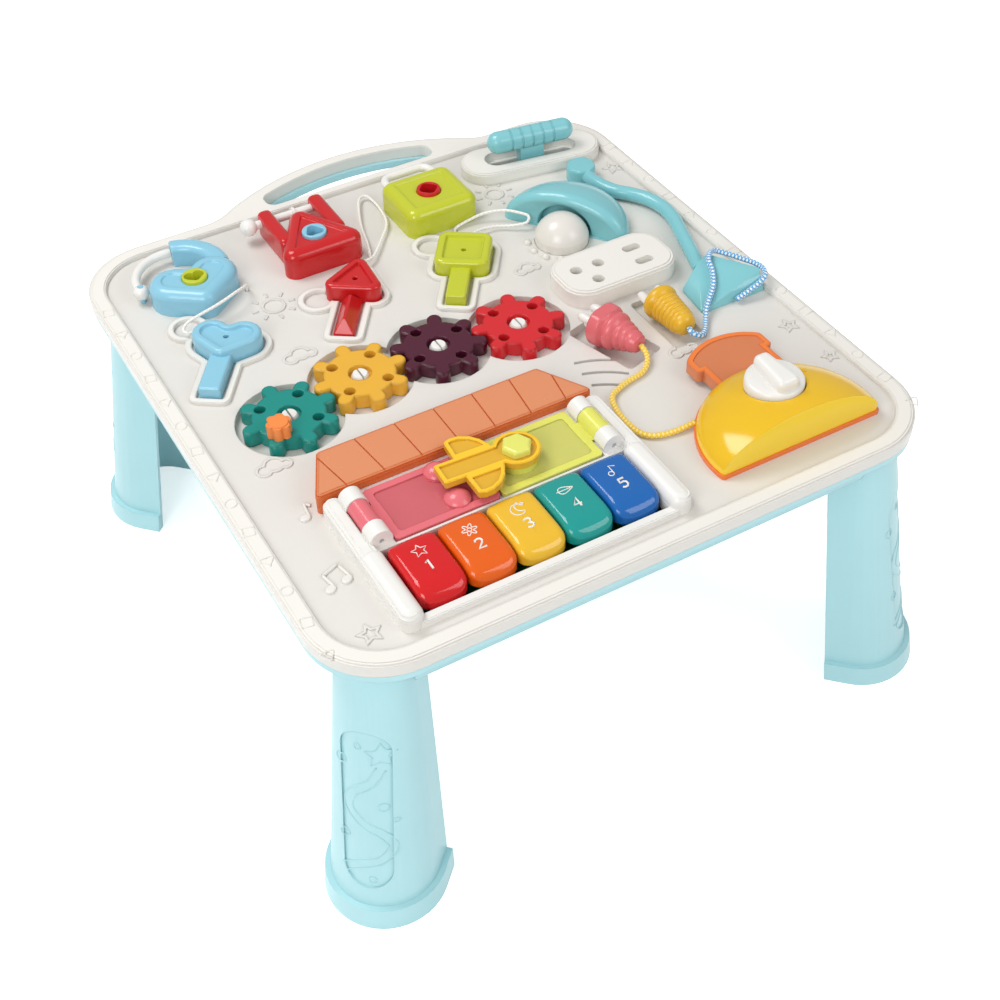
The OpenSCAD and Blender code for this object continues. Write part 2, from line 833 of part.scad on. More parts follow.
module piano_key(i, shade) {
    color(shade) at_deck() translate([key_x(i), 0, 0]) difference() {
        union() {
            intersection() {
                translate([0, 0, key_low]) linear_extrude(20) key_plan();
                rotate([90, 0, 90]) linear_extrude(key_pitch, center = true) key_profile();
            }
            translate([-5, key_back - 12, key_axis_z - 2]) cube([10, 8, key_low + 1 - key_axis_z + 2]);
            translate([-5, key_back - 12, key_axis_z - 2]) cube([10, key_axis_y - key_back + 12, 4]);
            translate([0, key_axis_y, key_axis_z]) rotate([0, 90, 0])
                cylinder(r = hub_r, h = key_pitch - 6, center = true);
            translate([-3, key_front + 6, -9]) cube([6, 6, key_low + 10]);
        }
        translate([0, key_axis_y, key_axis_z]) rotate([0, 90, 0])
            cylinder(r = axle_r + turn_gap, h = key_pitch, center = true);
    }
}

module piano_key_1() piano_key(1, toy_red);
module piano_key_2() piano_key(2, toy_orange);
module piano_key_3() piano_key(3, toy_yellow);
module piano_key_4() piano_key(4, deep_teal);
module piano_key_5() piano_key(5, deep_blue);

module key_axle() {
    color(metal_grey) at_deck() translate([house_x, key_axis_y, key_axis_z]) rotate([0, 90, 0])
        cylinder(r = axle_r, h = axle_len, center = true);
}

roof_half = house_w / 2 + 2;

module roof() {
    front_y = house_front + house_d;
    color(toy_orange) at_deck() difference() {
        soft_prism(roof_h, 3) offset(3) offset(delta = -3)
            polygon([
                [house_x - roof_half, front_y + 0.1], [house_x + roof_half - 3, front_y + 0.1],
                [house_x + roof_half - 23, front_y + roof_d - 6],
                [house_x - roof_half + 17, front_y + roof_d - 6]
            ]);
        for (i = [-3:3])
            translate([house_x - 1.5 + i * 24, front_y - 1, roof_h - 0.8])
                rotate(-i * 3.2) cube([0.8, 40, 2]);
    }
}

// A door lies face up in the house; s is -1 for the left one and 1 for the right one.
module door_leaf(s) {
    translate([house_x, 0, 0]) scale([s, 1, 1]) difference() {
        union() {
            translate([door_seam + door_w / 2, (door_front + door_back) / 2, door_z]) difference() {
                linear_extrude(door_t) round_rect(door_w, door_d - 1, 2.5);
                translate([0, 0, door_t - 1]) linear_extrude(2) round_rect(door_w - 9, door_d - 10, 2.5);
            }
            translate([hinge_off, knuckle_front + knuckle_len + 0.4, hinge_z]) rotate([-90, 0, 0])
                cylinder(r = barrel_r, h = knuckle_back - knuckle_front - knuckle_len - 0.8);
            translate([door_w - 4, knuckle_front + knuckle_len + 0.8, door_z])
                cube([hinge_off - door_w + 4, knuckle_back - knuckle_front - knuckle_len - 1.6, door_t]);
        }
        translate([hinge_off, knuckle_front, hinge_z]) rotate([-90, 0, 0])
            cylinder(r = hinge_pin_r + turn_gap, h = 40);
    }
}

latch_at = [-39.5, -116];
latch_turn = -3;
latch_z = 15;
latch_t = 4.5;
latch_floor = 3;
latch_pin_r = 4;
latch_boss_r = 12;
peg_places = [[-84, -101], [-84, -126.5]];
peg_r = 7.8;
peg_ball_r = 9.8;

module door_left() {
    color(rose) at_deck() {
        door_leaf(-1);
        for (p = peg_places)
            translate([p[0], p[1], door_z + 0.5]) {
                cylinder(r = peg_r, h = door_t);
                translate([0, 0, door_t]) intersection() {
                    translate([0, 0, 4.3 - peg_ball_r]) sphere(r = peg_ball_r);
                    cylinder(r = peg_r, h = 10);
                }
            }
    }
}

module door_right() {
    color(leaf_green) at_deck() difference() {
        union() {
            door_leaf(1);
            translate([latch_at[0], latch_at[1], door_z])
                cylinder(r = latch_boss_r, h = latch_z - door_z - 0.2);
        }
        translate([latch_at[0], latch_at[1], door_z + 1.5]) cylinder(r = latch_pin_r, h = 20);
    }
}

module hinge_pins() {
    color(metal_grey) at_deck()
        for (s = [-1, 1])
            translate([house_x + s * hinge_off, knuckle_front + 0.5, hinge_z]) rotate([-90, 0, 0])
                cylinder(r = hinge_pin_r, h = knuckle_back + knuckle_len - knuckle_front - 1);
}

module latch_body() {
    circle(14);
    translate([-49, -8.3]) square([45, 16.6]);
}

// A fin beside the latch's body; s is -1 for the front one and 1 for the back one.
module latch_fin(s) {
    scale([1, s]) offset(2) offset(delta = -2)
        polygon([
            [-10, 0], [-12.6, 10], [-15.5, 16.5], [-20, 21.6], [-26, 24.6], [-31.5, 25], [-35.5, 23.5],
            [-36.5, 0]
        ]);
}

module latch_outline() {
    offset(1.5) offset(delta = -1.5) latch_body();
    for (s = [-1, 1])
        latch_fin(s);
}

module latch_recess() {
    offset(delta = -2.4) latch_body();
    for (s = [-1, 1])
        offset(delta = -2.4) difference() {
            latch_fin(s);
            latch_body();
        }
}

module rocket_latch() {
    color(toy_yellow) at_deck() translate([latch_at[0], latch_at[1], latch_z]) rotate(latch_turn)
        difference() {
            soft_prism(latch_t, 1) latch_outline();
            translate([0, 0, latch_floor]) linear_extrude(latch_t) latch_recess();
            translate([0, 0, -1]) cylinder(r = latch_pin_r + turn_gap, h = 10);
        }
}

module latch_knob() {
    color(lime) at_deck() translate([latch_at[0], latch_at[1], 0]) {
        translate([0, 0, door_z + 1.5]) cylinder(r = latch_pin_r, h = latch_z + latch_floor - door_z);
        translate([0, 0, latch_z + latch_floor + 0.2]) cylinder(r = 9.5, h = 4, $fn = 6);
    }
}

// ---- Gears ----

module gear_outline() {
    $fn = 20;
    circle(gear_root_r, $fn = 40);
    for (i = [0:tooth_n - 1])
        rotate(i * tooth_step) {
            translate([0, -tooth_w / 2]) square([gear_tip_r - tooth_w / 2, tooth_w]);
            translate([gear_tip_r - tooth_w / 2, 0]) circle(tooth_w / 2);
        }
}

gear_z = well_z + gear_float;
counterbore_r = 7.5;
counterbore_z = gear_z + gear_t - 3.5;
hole_turns = [45, 0, 45, 0];

module gear(i, shade) {
    color(shade) at_deck() translate([gear_places[i][0], gear_places[i][1], gear_z]) rotate(gear_turns[i])
        difference() {
            soft_prism(gear_t, 1.5) gear_outline();
            for (a = [0:90:359])
                rotate(a + hole_turns[i]) translate([finger_ring_r, 0, -1])
                    cylinder(r = finger_hole_r, h = gear_t + 2);
            translate([0, 0, -1]) cylinder(r = gear_pin_r + turn_gap, h = gear_t + 2);
            translate([0, 0, gear_t - 3.5]) cylinder(r = counterbore_r, h = 10);
        }
}

module gear_1() gear(0, deep_teal);
module gear_2() gear(1, toy_yellow);
module gear_3() gear(2, plum);
module gear_4() gear(3, toy_red);

module gear_pins() {
    color(frame_white) at_deck()
        for (p = gear_places)
            translate([p[0], p[1], 0]) difference() {
                union() {
                    translate([0, 0, well_z - deck_t]) cylinder(r = pin_stub_r, h = deck_t + 1);
                    translate([0, 0, well_z]) cylinder(r = gear_pin_r, h = counterbore_z + 0.4 - well_z + 1);
                    translate([0, 0, counterbore_z + 0.4]) cylinder(r1 = 6, r2 = 4.5, h = 2.8);
                }
                translate([-0.6, -10, counterbore_z - 2]) cube([1.2, 20, 20]);
            }
}

module crank_knob() {
    spot = gear_places[0] + polar(finger_ring_r, gear_turn + 225);
    color(toy_orange) at_deck() translate([spot[0], spot[1], 0]) {
        translate([0, 0, gear_z + 2]) cylinder(r = finger_hole_r, h = gear_t - 1.5);
        translate([0, 0, gear_z + gear_t]) {
            cylinder(r = 6, h = 9.5);
            for (a = [0:60:359])
                rotate(a) translate([5, 0, 0]) cylinder(r = 2.8, h = 9);
        }
    }
}

// ---- Locks ----

heart_w = 60;
triangle_w = 68;
square_w = 54;
square_d = 50;
rotor_z = 3.3;
rotor_floor = 3;
ring_at = heart_at + [-5, 19.5];
ring_z = 8;
hook_r = 5.5;
hook_end = 80;
pivot_angle = 190;
pivot_pin_r = 2;
ball_r = 5.2;
prong_w = 10;
prong_x = 19;
prong_end = 45;
rod_y = 38;
rod_z = 12;
rod_ball_r = 6;
shackle_x = 18;
shackle_y = 39;
shackle_z = 12;
shackle_bend = 8;
shackle_leg = 29;

module rotor_bore(h) {
    translate([0, 0, rotor_floor]) cylinder(r = rotor_r + turn_gap, h = h);
}

module heart_lock() {
    pivot = ring_at + polar(ring_r, pivot_angle);
    color(sky_blue) at_deck() {
        difference() {
            union() {
                translate([heart_at[0], heart_at[1], 0]) soft_prism(heart_h, 5) heart_outline(heart_w);
                translate([ring_at[0], ring_at[1], 0]) rotate(-10) rotate_extrude(angle = hook_end + 10)
                    translate([ring_r, 0]) {
                        translate([0, ring_z]) circle(hook_r);
                        translate([-hook_r, 0]) square([2 * hook_r, ring_z]);
                    }
                translate([pivot[0], pivot[1] - 4, 0]) cube([14, 6, 2.4]);
                translate([pivot[0], pivot[1], 0]) cylinder(r = ball_r, h = 2.4);
                translate([pivot[0], pivot[1], 0]) cylinder(r = pivot_pin_r, h = ring_z + ball_r + 0.6);
            }
            translate([heart_at[0], heart_at[1], 0]) rotor_bore(40);
        }
    }
}

module heart_bolt() {
    pivot = ring_at + polar(ring_r, pivot_angle);
    color(frame_white) at_deck() difference() {
        union() {
            translate([ring_at[0], ring_at[1], ring_z]) rotate(hook_end + 1)
                rotate_extrude(angle = pivot_angle - hook_end - 1) translate([ring_r, 0]) circle(bolt_r);
            translate([pivot[0], pivot[1], ring_z]) sphere(r = ball_r);
        }
        translate([pivot[0], pivot[1], -1]) cylinder(r = pivot_pin_r + turn_gap, h = 40);
    }
}

module lock_rotor(at, top, kind, shade) {
    color(shade) at_deck() translate([at[0], at[1], rotor_z]) difference() {
        cylinder(r = rotor_r, h = top + 0.8 - rotor_z);
        translate([0, 0, 4]) linear_extrude(40) {
            if (kind == 0) heart_outline(11);
            if (kind == 1) triangle_outline(12, 1);
            if (kind == 2) rotate(45) square(8, center = true);
        }
    }
}

module heart_rotor() lock_rotor(heart_at, heart_h, 0, lime);
module triangle_rotor() lock_rotor(triangle_at, lock_h, 1, sky_blue);
module square_rotor() lock_rotor(square_at, lock_h, 2, toy_red);

module triangle_lock() {
    $fn = 32;
    color(toy_red) at_deck() translate([triangle_at[0], triangle_at[1], 0]) difference() {
        union() {
            soft_prism(lock_h, 5) triangle_outline(triangle_w, 8);
            for (s = [-1, 1])
                translate([s * prong_x, 0, 0]) {
                    soft_prism(lock_h - 1, 3) translate([0, prong_end / 2])
                        offset(4) square([prong_w - 8, prong_end - 8], center = true);
                }
        }
        rotor_bore(40);
        translate([-prong_x - 10, rod_y, rod_z]) rotate([0, 90, 0])
            cylinder(r = bolt_r + turn_gap, h = 2 * prong_x + 20);
    }
}

module triangle_bolt() {
    ball_at = -prong_x - prong_w / 2 - rod_ball_r - 3;
    neck = acos(bolt_r / rod_ball_r);
    collar_r = bolt_r + 1.5;
    end = prong_x + prong_w / 2;
    color(frame_white) at_deck() translate([triangle_at[0], triangle_at[1] + rod_y, rod_z])
        rotate([0, 90, 0]) rotate_extrude() polygon(concat(
            [for (i = [0:12]) polar(rod_ball_r, -90 + i * (90 + neck) / 12) + [0, ball_at]],
            [[bolt_r, -0.5], [collar_r, -0.5], [collar_r, 1.5], [bolt_r, 1.5], [bolt_r, end], [0, end]]
        ));
}

module square_lock() {
    color(lime) at_deck() translate([square_at[0], square_at[1], 0]) difference() {
        soft_prism(lock_h, 5) round_rect(square_w, square_d, 8);
        rotor_bore(40);
        for (s = [-1, 1])
            translate([s * shackle_x, shackle_y - shackle_bend - shackle_leg - 1, shackle_z])
                rotate([-90, 0, 0]) cylinder(r = bolt_r + turn_gap, h = 60);
    }
}

module square_shackle() {
    color(frame_white) at_deck() translate([square_at[0], square_at[1], shackle_z]) {
        for (s = [-1, 1]) {
            translate([s * shackle_x, shackle_y - shackle_bend - shackle_leg, 0])
                rotate([-90, 0, 0]) cylinder(r = bolt_r, h = shackle_leg);
            translate([s * (shackle_x - shackle_bend), shackle_y - shackle_bend, 0])
                scale([s, 1, 1]) rotate_extrude(angle = 90) translate([shackle_bend, 0]) circle(bolt_r);
        }
        translate([-shackle_x + shackle_bend, shackle_y, 0]) rotate([0, 90, 0])
            cylinder(r = bolt_r, h = 2 * (shackle_x - shackle_bend));
    }
}

// ---- Toy keys and their cords ----

module shank_profile(kind) {
    w = shank_w - 2;
    if (kind == 0) difference() {
        translate([-w / 2, 0]) square([w, toy_shank_h]);
        translate([-1.5, toy_shank_h - 1.2]) square([3, 3]);
    }
    if (kind == 1) polygon([
        [-w / 2, 0], [w / 2, 0], [w / 2, 1.5], [1, toy_shank_h + 2], [-1, toy_shank_h + 2], [-w / 2, 1.5]
    ]);
    if (kind == 2) translate([-w / 2, 0]) square([w, toy_shank_h]);
}

module head_outline(kind) {
    if (kind == 0) heart_outline(heart_head_w);
    if (kind == 1) triangle_outline(triangle_head_w, 6);
    if (kind == 2) round_rect(square_head_w, square_head_w, 7);
}

module toy_key(kind, shade) {
    color(shade) at_deck() translate([toy_keys[kind][0], toy_keys[kind][1], 0]) rotate(toy_turn)
        difference() {
            union() {
                soft_prism(toy_head_h, 2.5) head_outline(kind);
                rotate([90, 0, 0]) linear_extrude(toy_reach) shank_profile(kind);
            }
            translate([0, 0, toy_head_h - 1.5]) linear_extrude(5) offset(delta = -6) head_outline(kind);
            translate([0, 0, toy_head_h - 5]) cylinder(r = 1.8, h = 10);
        }
}

module heart_key() toy_key(0, sky_blue);
module triangle_key() toy_key(1, toy_red);
module square_key() toy_key(2, lime);

// A cord is one tube whose rings stand square to its path.
function side_of(p, i) =
    let (a = p[max(i - 1, 0)], b = p[min(i + 1, len(p) - 1)], d = unit(b - a), s = cross(d, [0, 0, 1]))
    norm(s) < 0.05 ? [1, 0, 0] : unit(s);
function ring_of(p, i, r, n) =
    let (a = p[max(i - 1, 0)], b = p[min(i + 1, len(p) - 1)], s = side_of(p, i), u = cross(s, unit(b - a)))
    [for (k = [0:n - 1]) p[i] + r * cos(360 * k / n) * s + r * sin(360 * k / n) * u];
function spline(p, i, t) =
    let (a = p[max(i - 1, 0)], b = p[i], c = p[i + 1], d = p[min(i + 2, len(p) - 1)])
    0.5 * (2 * b + (c - a) * t + (2 * a - 5 * b + 4 * c - d) * t * t + (3 * b - a - 3 * c + d) * t * t * t);
function smooth(p, m) =
    concat([for (i = [0:len(p) - 2], j = [0:m - 1]) spline(p, i, j / m)], [p[len(p) - 1]]);

module cord(path, r, n) {
    p = smooth(path, 4);
    rings = len(p);
    points = [for (i = [0:rings - 1]) each ring_of(p, i, r, n)];
    sides = [for (i = [0:rings - 2], k = [0:n - 1])
        [i * n + k, i * n + (k + 1) % n, (i + 1) * n + (k + 1) % n, (i + 1) * n + k]];
    start_cap = [[for (k = [n - 1:-1:0]) k]];
    end_cap = [[for (k = [0:n - 1]) (rings - 1) * n + k]];
    polyhedron(points, concat(start_cap, sides, end_cap));
}

cord_z = 3.4;
heart_path = [
    [-105, 130, -2], [-105, 130, 3], [-107, 124, 8.5], [-112, 118.5, 11.5], [-119, 114, 13],
    [-127, 110.5, 13], [-136, 108.5, 12], [-146, 108, 10], [-155, 107, 8], [-159.5, 103, 6.4],
    [-158, 99, 6], [-154, 99, 6]
];
triangle_path = [
    [-18, 120, -2], [-18, 120, 1.5], [-17, 124, cord_z], [-14, 134, cord_z], [-9, 153, cord_z],
    [-2, 171, cord_z], [4, 183, cord_z], [9, 186, cord_z], [12, 181, cord_z], [12, 165, cord_z],
    [8, 147, cord_z], [-4, 131, cord_z], [-18, 115, 4.4], [-29, 110, 6.6]
];
square_path = [
    [47, 118, -2], [47, 118, 2], [57, 119, 4], [70, 117, 7], [82, 110, 9], [90, 101, 9], [93, 96, 8],
    [89, 93, 6], [80, 98, 4], [70, 104, cord_z], [58, 104, 4.6], [46, 99, 6.4]
];

module heart_tether() {
    color(frame_white) at_deck() cord(heart_path, tether_r, 8);
}

module triangle_tether() {
    color(frame_white) at_deck() cord(triangle_path, tether_r, 8);
}

module square_tether() {
    color(frame_white) at_deck() cord(square_path, tether_r, 8);
}

// ---- Slider, lamp, plugs and toaster ----

grip_z = 22;

module slider_grip() {
    mid = grip_len / 2 - grip_r;
    color(aqua) at_deck() translate([slider_at[0], slider_at[1], 0]) rotate(slider_turn) {
        difference() {
            union() {
                translate([-mid, 0, grip_z]) rotate([0, 90, 0]) cylinder(r = grip_r, h = 2 * mid);
                for (s = [-1, 1])
                    translate([s * mid, 0, grip_z]) sphere(r = grip_r);
            }
            for (i = [-2:2])
                translate([i * 8 - 0.8, 0, grip_z]) rotate([0, 90, 0]) difference() {
                    cylinder(r = grip_r + 1, h = 1.6);
                    translate([0, 0, -1]) cylinder(r = grip_r - 0.8, h = 4);
                }
        }
        translate([-stem_len / 2, -stem_w / 2, -deck_t - 1.5]) cube([stem_len, stem_w, grip_z + deck_t]);
        translate([-10, -10, -deck_t - 2.8]) cube([20, 20, 2.5]);
    }
}

arm_points = [
    [156.7, 130], [157.5, 112], [162.3, 96], [170, 86], [176.4, 76], [179.8, 65], [180.4, 54], [178.4, 42],
    [174.6, 30], [160.6, -14]
];
arm_r = 4.8;
arm_h = 11;
lamp_base_h = 15;
lamp_base_low = [[141, -22], [166, -10], [187.4, -40], [187.4, -49], [138, -49]];
lamp_base_high = [[156, -17], [166, -13], [186, -43], [184, -46]];

module arm_outline() {
    for (i = [0:len(arm_points) - 2])
        strap(arm_points[i], arm_r, arm_points[i + 1], arm_r);
    translate(arm_points[0]) circle(10.5);
}

module lamp_arm() {
    color(aqua) at_deck() soft_prism(arm_h, 4) arm_outline();
}

module lamp_base() {
    color(aqua) at_deck() difference() {
        hull() {
            linear_extrude(2) offset(1.5) offset(delta = -1.5) polygon(lamp_base_low);
            translate([0, 0, lamp_base_h - 1]) linear_extrude(1) polygon(lamp_base_high);
        }
        translate([0, 0, -1]) linear_extrude(arm_h + 1) arm_outline();
    }
}

shade_mid = [110.5, 78.5];
shade_turn = 37;

brim_h = 3;

// A dome whose section is half an ellipse, on a straight brim.
module dome(r, brim, h) {
    rotate_extrude() intersection() {
        union() {
            square([r, brim]);
            translate([0, brim]) scale([1, (h - brim) / r]) circle(r, $fn = 96);
        }
        square([r, h]);
    }
}

module lamp_shade() {
    color(aqua) at_deck() difference() {
        translate(shade_mid) rotate(shade_turn) intersection() {
            dome(shade_r, brim_h, shade_h);
            translate([0, -shade_r, 0]) cube([shade_r, 2 * shade_r, shade_h]);
        }
        translate([bulb_at[0], bulb_at[1], -1]) cylinder(r = bulb_r + 1, h = 40);
        translate([0, 0, -1]) linear_extrude(40) offset(delta = 0.1) arm_outline();
    }
}

bulb_ball_r = bulb_r + 0.7;

module lamp_bulb() {
    color(frame_white) at_deck() translate([bulb_at[0], bulb_at[1], 0]) {
        translate([0, 0, -deck_t - 2.5]) cylinder(r = bulb_r + bulb_flange, h = 2.2);
        translate([0, 0, -deck_t - 1]) cylinder(r = bulb_r, h = deck_t + 7);
        intersection() {
            translate([0, 0, 0.8]) sphere(r = bulb_ball_r);
            translate([0, 0, 5]) cylinder(r = bulb_r, h = 20);
        }
    }
}

module plug_body(r, tail_r) {
    rotate([90, 0, 0]) {
        cylinder(r = r, h = 5);
        translate([0, 0, 5]) cylinder(r1 = 0.8 * r, r2 = tail_r, h = plug_len - 5);
        for (i = [0:3])
            translate([0, 0, 8 + i * 6]) cylinder(r = 0.86 * r - i * (0.86 * r - tail_r) / 5, h = 3);
    }
}

pin_r = 2.4;
pin_len = 12;

module pink_plug() {
    color(rose) at_deck() translate([pink_plug_at[0], pink_plug_at[1], plug_axis_z]) rotate(pink_turn) {
        plug_body(pink_plug_r, 5);
        for (p = [[-6, 3], [6, 3], [0, -6]])
            translate([p[0], 0, p[1]]) rotate([-90, 0, 0]) cylinder(r = pin_r, h = pin_len);
    }
}

module yellow_plug() {
    color(toy_yellow) at_deck() translate([yellow_plug_at[0], yellow_plug_at[1], plug_axis_z]) {
        plug_body(yellow_plug_r, 5);
        for (x = [-6.5, 6.5])
            translate([x, 0, 0]) rotate([-90, 0, 0]) cylinder(r = pin_r, h = pin_len);
    }
}

rope_z = rope_r + 0.6;
pink_tail = pink_plug_at + (plug_len + 0.8) * [sin(pink_turn), -cos(pink_turn)];
pink_path = [
    [pink_tail[0], pink_tail[1], plug_axis_z], [80, -72, 5], [72, -80, rope_z], [56, -84, rope_z],
    [43, -90, rope_z], [38, -102, rope_z], [37, -116, rope_z], [39, -128, rope_z], [46, -134, rope_z],
    [55, -136, 5]
];
yellow_path = [
    [yellow_plug_at[0], yellow_plug_at[1] - plug_len - 0.8, plug_axis_z], [116.5, -69, 6.5],
    [122, -70.5, 4], [128, -66, 3], [134, -58, 3.2], [139, -51.5, 5.6], [145, -46, 8], [150, -42, 10],
    [154, -37.5, 12.4], [156.5, -33, 14.2], [158.5, -28.5, 16], [160, -23, 17.6], [165, -16.5, 17.6],
    [172, -12, 15], [179, -16.5, 13], [185, -25, 12], [189.5, -34, 12], [190.5, -42, 12],
    [187, -48.5, 11.4], [180.5, -51, 9.6], [173, -51.6, 7.2], [167, -51.6, 5], [163, -51.6, 3.6]
];

module pink_rope() {
    color(toy_yellow) at_deck() cord(pink_path, rope_r, 10);
}

module yellow_rope() {
    color(sky_blue) at_deck() cord(yellow_path, rope_r, 10);
}

toaster_base_h = 3;
toaster_r = (toaster_w * toaster_w / 4 + toaster_d * toaster_d) / (2 * toaster_d);
toaster_mid = toaster_at + [0, toaster_d - toaster_r];

// The toaster is a disc, seen from above, that its front face cuts off.
module toaster_plan(inset) {
    offset(2) offset(delta = -2) intersection() {
        translate(toaster_mid) circle(toaster_r - inset, $fn = 120);
        translate([toaster_at[0] - toaster_w, toaster_at[1] + inset]) square([2 * toaster_w, 2 * toaster_d]);
    }
}

toast_z = toaster_base_h + 0.5;
toast_t = 8;
toast_y = toaster_at[1] + toaster_d - 22;

toast_x = toaster_at[0] + 6;

// The slice has a crown that is wider than its body.
module toast_outline() {
    translate([4 - toast_w / 2, 0]) square([toast_w - 8, 36]);
    offset(3) offset(delta = -3) intersection() {
        translate([0, 14.5]) circle(40);
        translate([-toast_w / 2, 30]) square([toast_w, 30]);
    }
}

module toast_slice() {
    color(toy_orange) at_deck() translate([toast_x, toast_y, toast_z]) difference() {
        soft_prism(toast_t, 1.5) toast_outline();
        translate([0, 0, toast_t - 0.8]) linear_extrude(2) offset(delta = -3.6) toast_outline();
    }
}

module toaster_base() {
    color(toy_orange) at_deck() linear_extrude(toaster_base_h) toaster_plan(0);
}

dial_at = [toaster_at[0], toaster_at[1] + 32];
dial_seat = toaster_top_h - 5;
dial_z = dial_seat + 0.4;
dial_pin_r = 4;

module toaster_cover() {
    color(toy_yellow) at_deck() difference() {
        intersection() {
            translate([toaster_mid[0], toaster_mid[1], toaster_base_h])
                dome(toaster_r - 1, 1, toaster_top_h - toaster_base_h);
            translate([0, 0, toaster_base_h]) linear_extrude(toaster_top_h) toaster_plan(1);
        }
        translate([dial_at[0], dial_at[1], dial_seat]) cylinder(r = dial_r + 0.8, h = 40);
        translate([toast_x - toast_w / 2 - 0.5, toast_y - toast_travel - 1, toaster_base_h - 1])
            cube([toast_w + 1, 100, toast_t + 2]);
        translate([dial_at[0], dial_at[1], toaster_base_h + toast_t + 2])
            cylinder(r = dial_pin_r + turn_gap, h = 40);
    }
}

module toaster_dial() {
    color(frame_white) at_deck() translate([dial_at[0], dial_at[1], 0]) {
        translate([0, 0, toaster_base_h + toast_t + 2.5])
            cylinder(r = dial_pin_r, h = dial_z - toaster_base_h - toast_t);
        translate([0, 0, dial_z]) cylinder(r1 = dial_r, r2 = dial_r - 2, h = 7);
        translate([0, 0, dial_z + 7]) soft_prism(7, 1.5) square([9, 2 * dial_r - 5], center = true);
    }
}

top_panel();
under_tray();
leg_front_left();
leg_front_right();
leg_rear_left();
leg_rear_right();
case_screws();
house_frame();
piano_key_1();
piano_key_2();
piano_key_3();
piano_key_4();
piano_key_5();
key_axle();
contact_pads();
circuit_board();
speaker();
battery_cells();
battery_cover();
power_switch();
roof();
door_left();
door_right();
hinge_pins();
rocket_latch();
latch_knob();
gear_1();
gear_2();
gear_3();
gear_4();
gear_pins();
crank_knob();
heart_lock();
triangle_lock();
square_lock();
heart_rotor();
triangle_rotor();
square_rotor();
heart_bolt();
triangle_bolt();
square_shackle();
heart_key();
triangle_key();
square_key();
heart_tether();
triangle_tether();
square_tether();
slider_grip();
lamp_base();
lamp_arm();
lamp_shade();
lamp_bulb();
pink_plug();
yellow_plug();
pink_rope();
yellow_rope();
toaster_base();
toaster_cover();
toast_slice();
toaster_dial();
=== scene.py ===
import json
import math

import bmesh
import bpy
from mathutils import Matrix, Vector
from mathutils.bvhtree import BVHTree


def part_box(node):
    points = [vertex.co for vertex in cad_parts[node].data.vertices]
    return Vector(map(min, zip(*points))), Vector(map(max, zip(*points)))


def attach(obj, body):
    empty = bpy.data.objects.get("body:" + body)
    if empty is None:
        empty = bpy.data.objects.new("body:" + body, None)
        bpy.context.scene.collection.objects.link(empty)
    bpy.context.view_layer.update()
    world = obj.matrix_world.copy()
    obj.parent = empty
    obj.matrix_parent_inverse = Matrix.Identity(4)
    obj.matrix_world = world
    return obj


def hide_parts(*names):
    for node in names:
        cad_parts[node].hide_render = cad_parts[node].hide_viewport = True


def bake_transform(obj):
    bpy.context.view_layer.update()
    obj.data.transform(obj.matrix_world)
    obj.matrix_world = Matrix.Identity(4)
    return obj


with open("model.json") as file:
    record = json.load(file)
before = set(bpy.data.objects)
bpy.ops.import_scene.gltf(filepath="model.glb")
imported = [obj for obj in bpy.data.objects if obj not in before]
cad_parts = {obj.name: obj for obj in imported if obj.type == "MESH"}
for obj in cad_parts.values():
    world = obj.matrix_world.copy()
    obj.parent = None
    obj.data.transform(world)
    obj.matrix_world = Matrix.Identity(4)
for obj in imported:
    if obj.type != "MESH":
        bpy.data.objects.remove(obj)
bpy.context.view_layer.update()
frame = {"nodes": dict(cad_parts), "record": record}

# ---- Where things lie ----
# Every size below is in millimetres on the play surface: X to the right, Y to the back and Z up from
# the surface, with the middle of the panel as the origin, as a moulder's drawing gives them.

surface_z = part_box("house_frame")[0][2] * 1000
panel_mid_y = (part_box("leg_front_left")[0][1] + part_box("leg_rear_left")[1][1]) * 500


def on_table(x, y, z):
    return Vector((x, y + panel_mid_y, z + surface_z)) / 1000


# ---- Camera ----
# It stands in front of the table, a little to its left, and looks down at the play surface.

aim = on_table(-56.75, -125.92, -6)
turn, rise, roll = math.radians(-28.38), math.radians(44.23), math.radians(-1.86)
right = Vector((math.cos(turn), math.sin(turn), 0))
back = Vector((math.sin(turn) * math.cos(rise), -math.cos(turn) * math.cos(rise), math.sin(rise)))
up = back.cross(right)
right, up = right * math.cos(roll) + up * math.sin(roll), up * math.cos(roll) - right * math.sin(roll)
lens = bpy.data.cameras.new("camera")
lens.sensor_width = 36
lens.lens = 55.225
camera = bpy.data.objects.new("camera", lens)
view = Matrix((right, up, back)).transposed().to_4x4()
view.translation = aim + back * 0.88285
camera.matrix_world = view
bpy.context.scene.collection.objects.link(camera)
bpy.context.scene.camera = camera

# ---- Toy keys' white cords ----
# Thin round cords of braided nylon. One end is knotted under the panel and the other in the key's head.


def linear(code):
    parts = [int(code[i:i + 2], 16) / 255 for i in (1, 3, 5)]
    return tuple(p / 12.92 if p < 0.04045 else ((p + 0.055) / 1.055) ** 2.4 for p in parts) + (1,)


def add(tree, kind, links=None, **settings):
    made = tree.nodes.new(kind)
    for name, value in settings.items():
        setattr(made, name, value)
    for name, value in (links or {}).items():
        if isinstance(value, bpy.types.NodeSocket):
            tree.links.new(value, made.inputs[name])
        else:
            made.inputs[name].default_value = value
    return made


def put(name, mesh, body, smooth=30):
    piece = bpy.data.objects.new(name, mesh)
    bpy.context.scene.collection.objects.link(piece)
    if smooth:
        mesh.shade_smooth()
        mesh.set_sharp_from_angle(angle=math.radians(smooth))
    if body:
        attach(piece, body)
    return piece


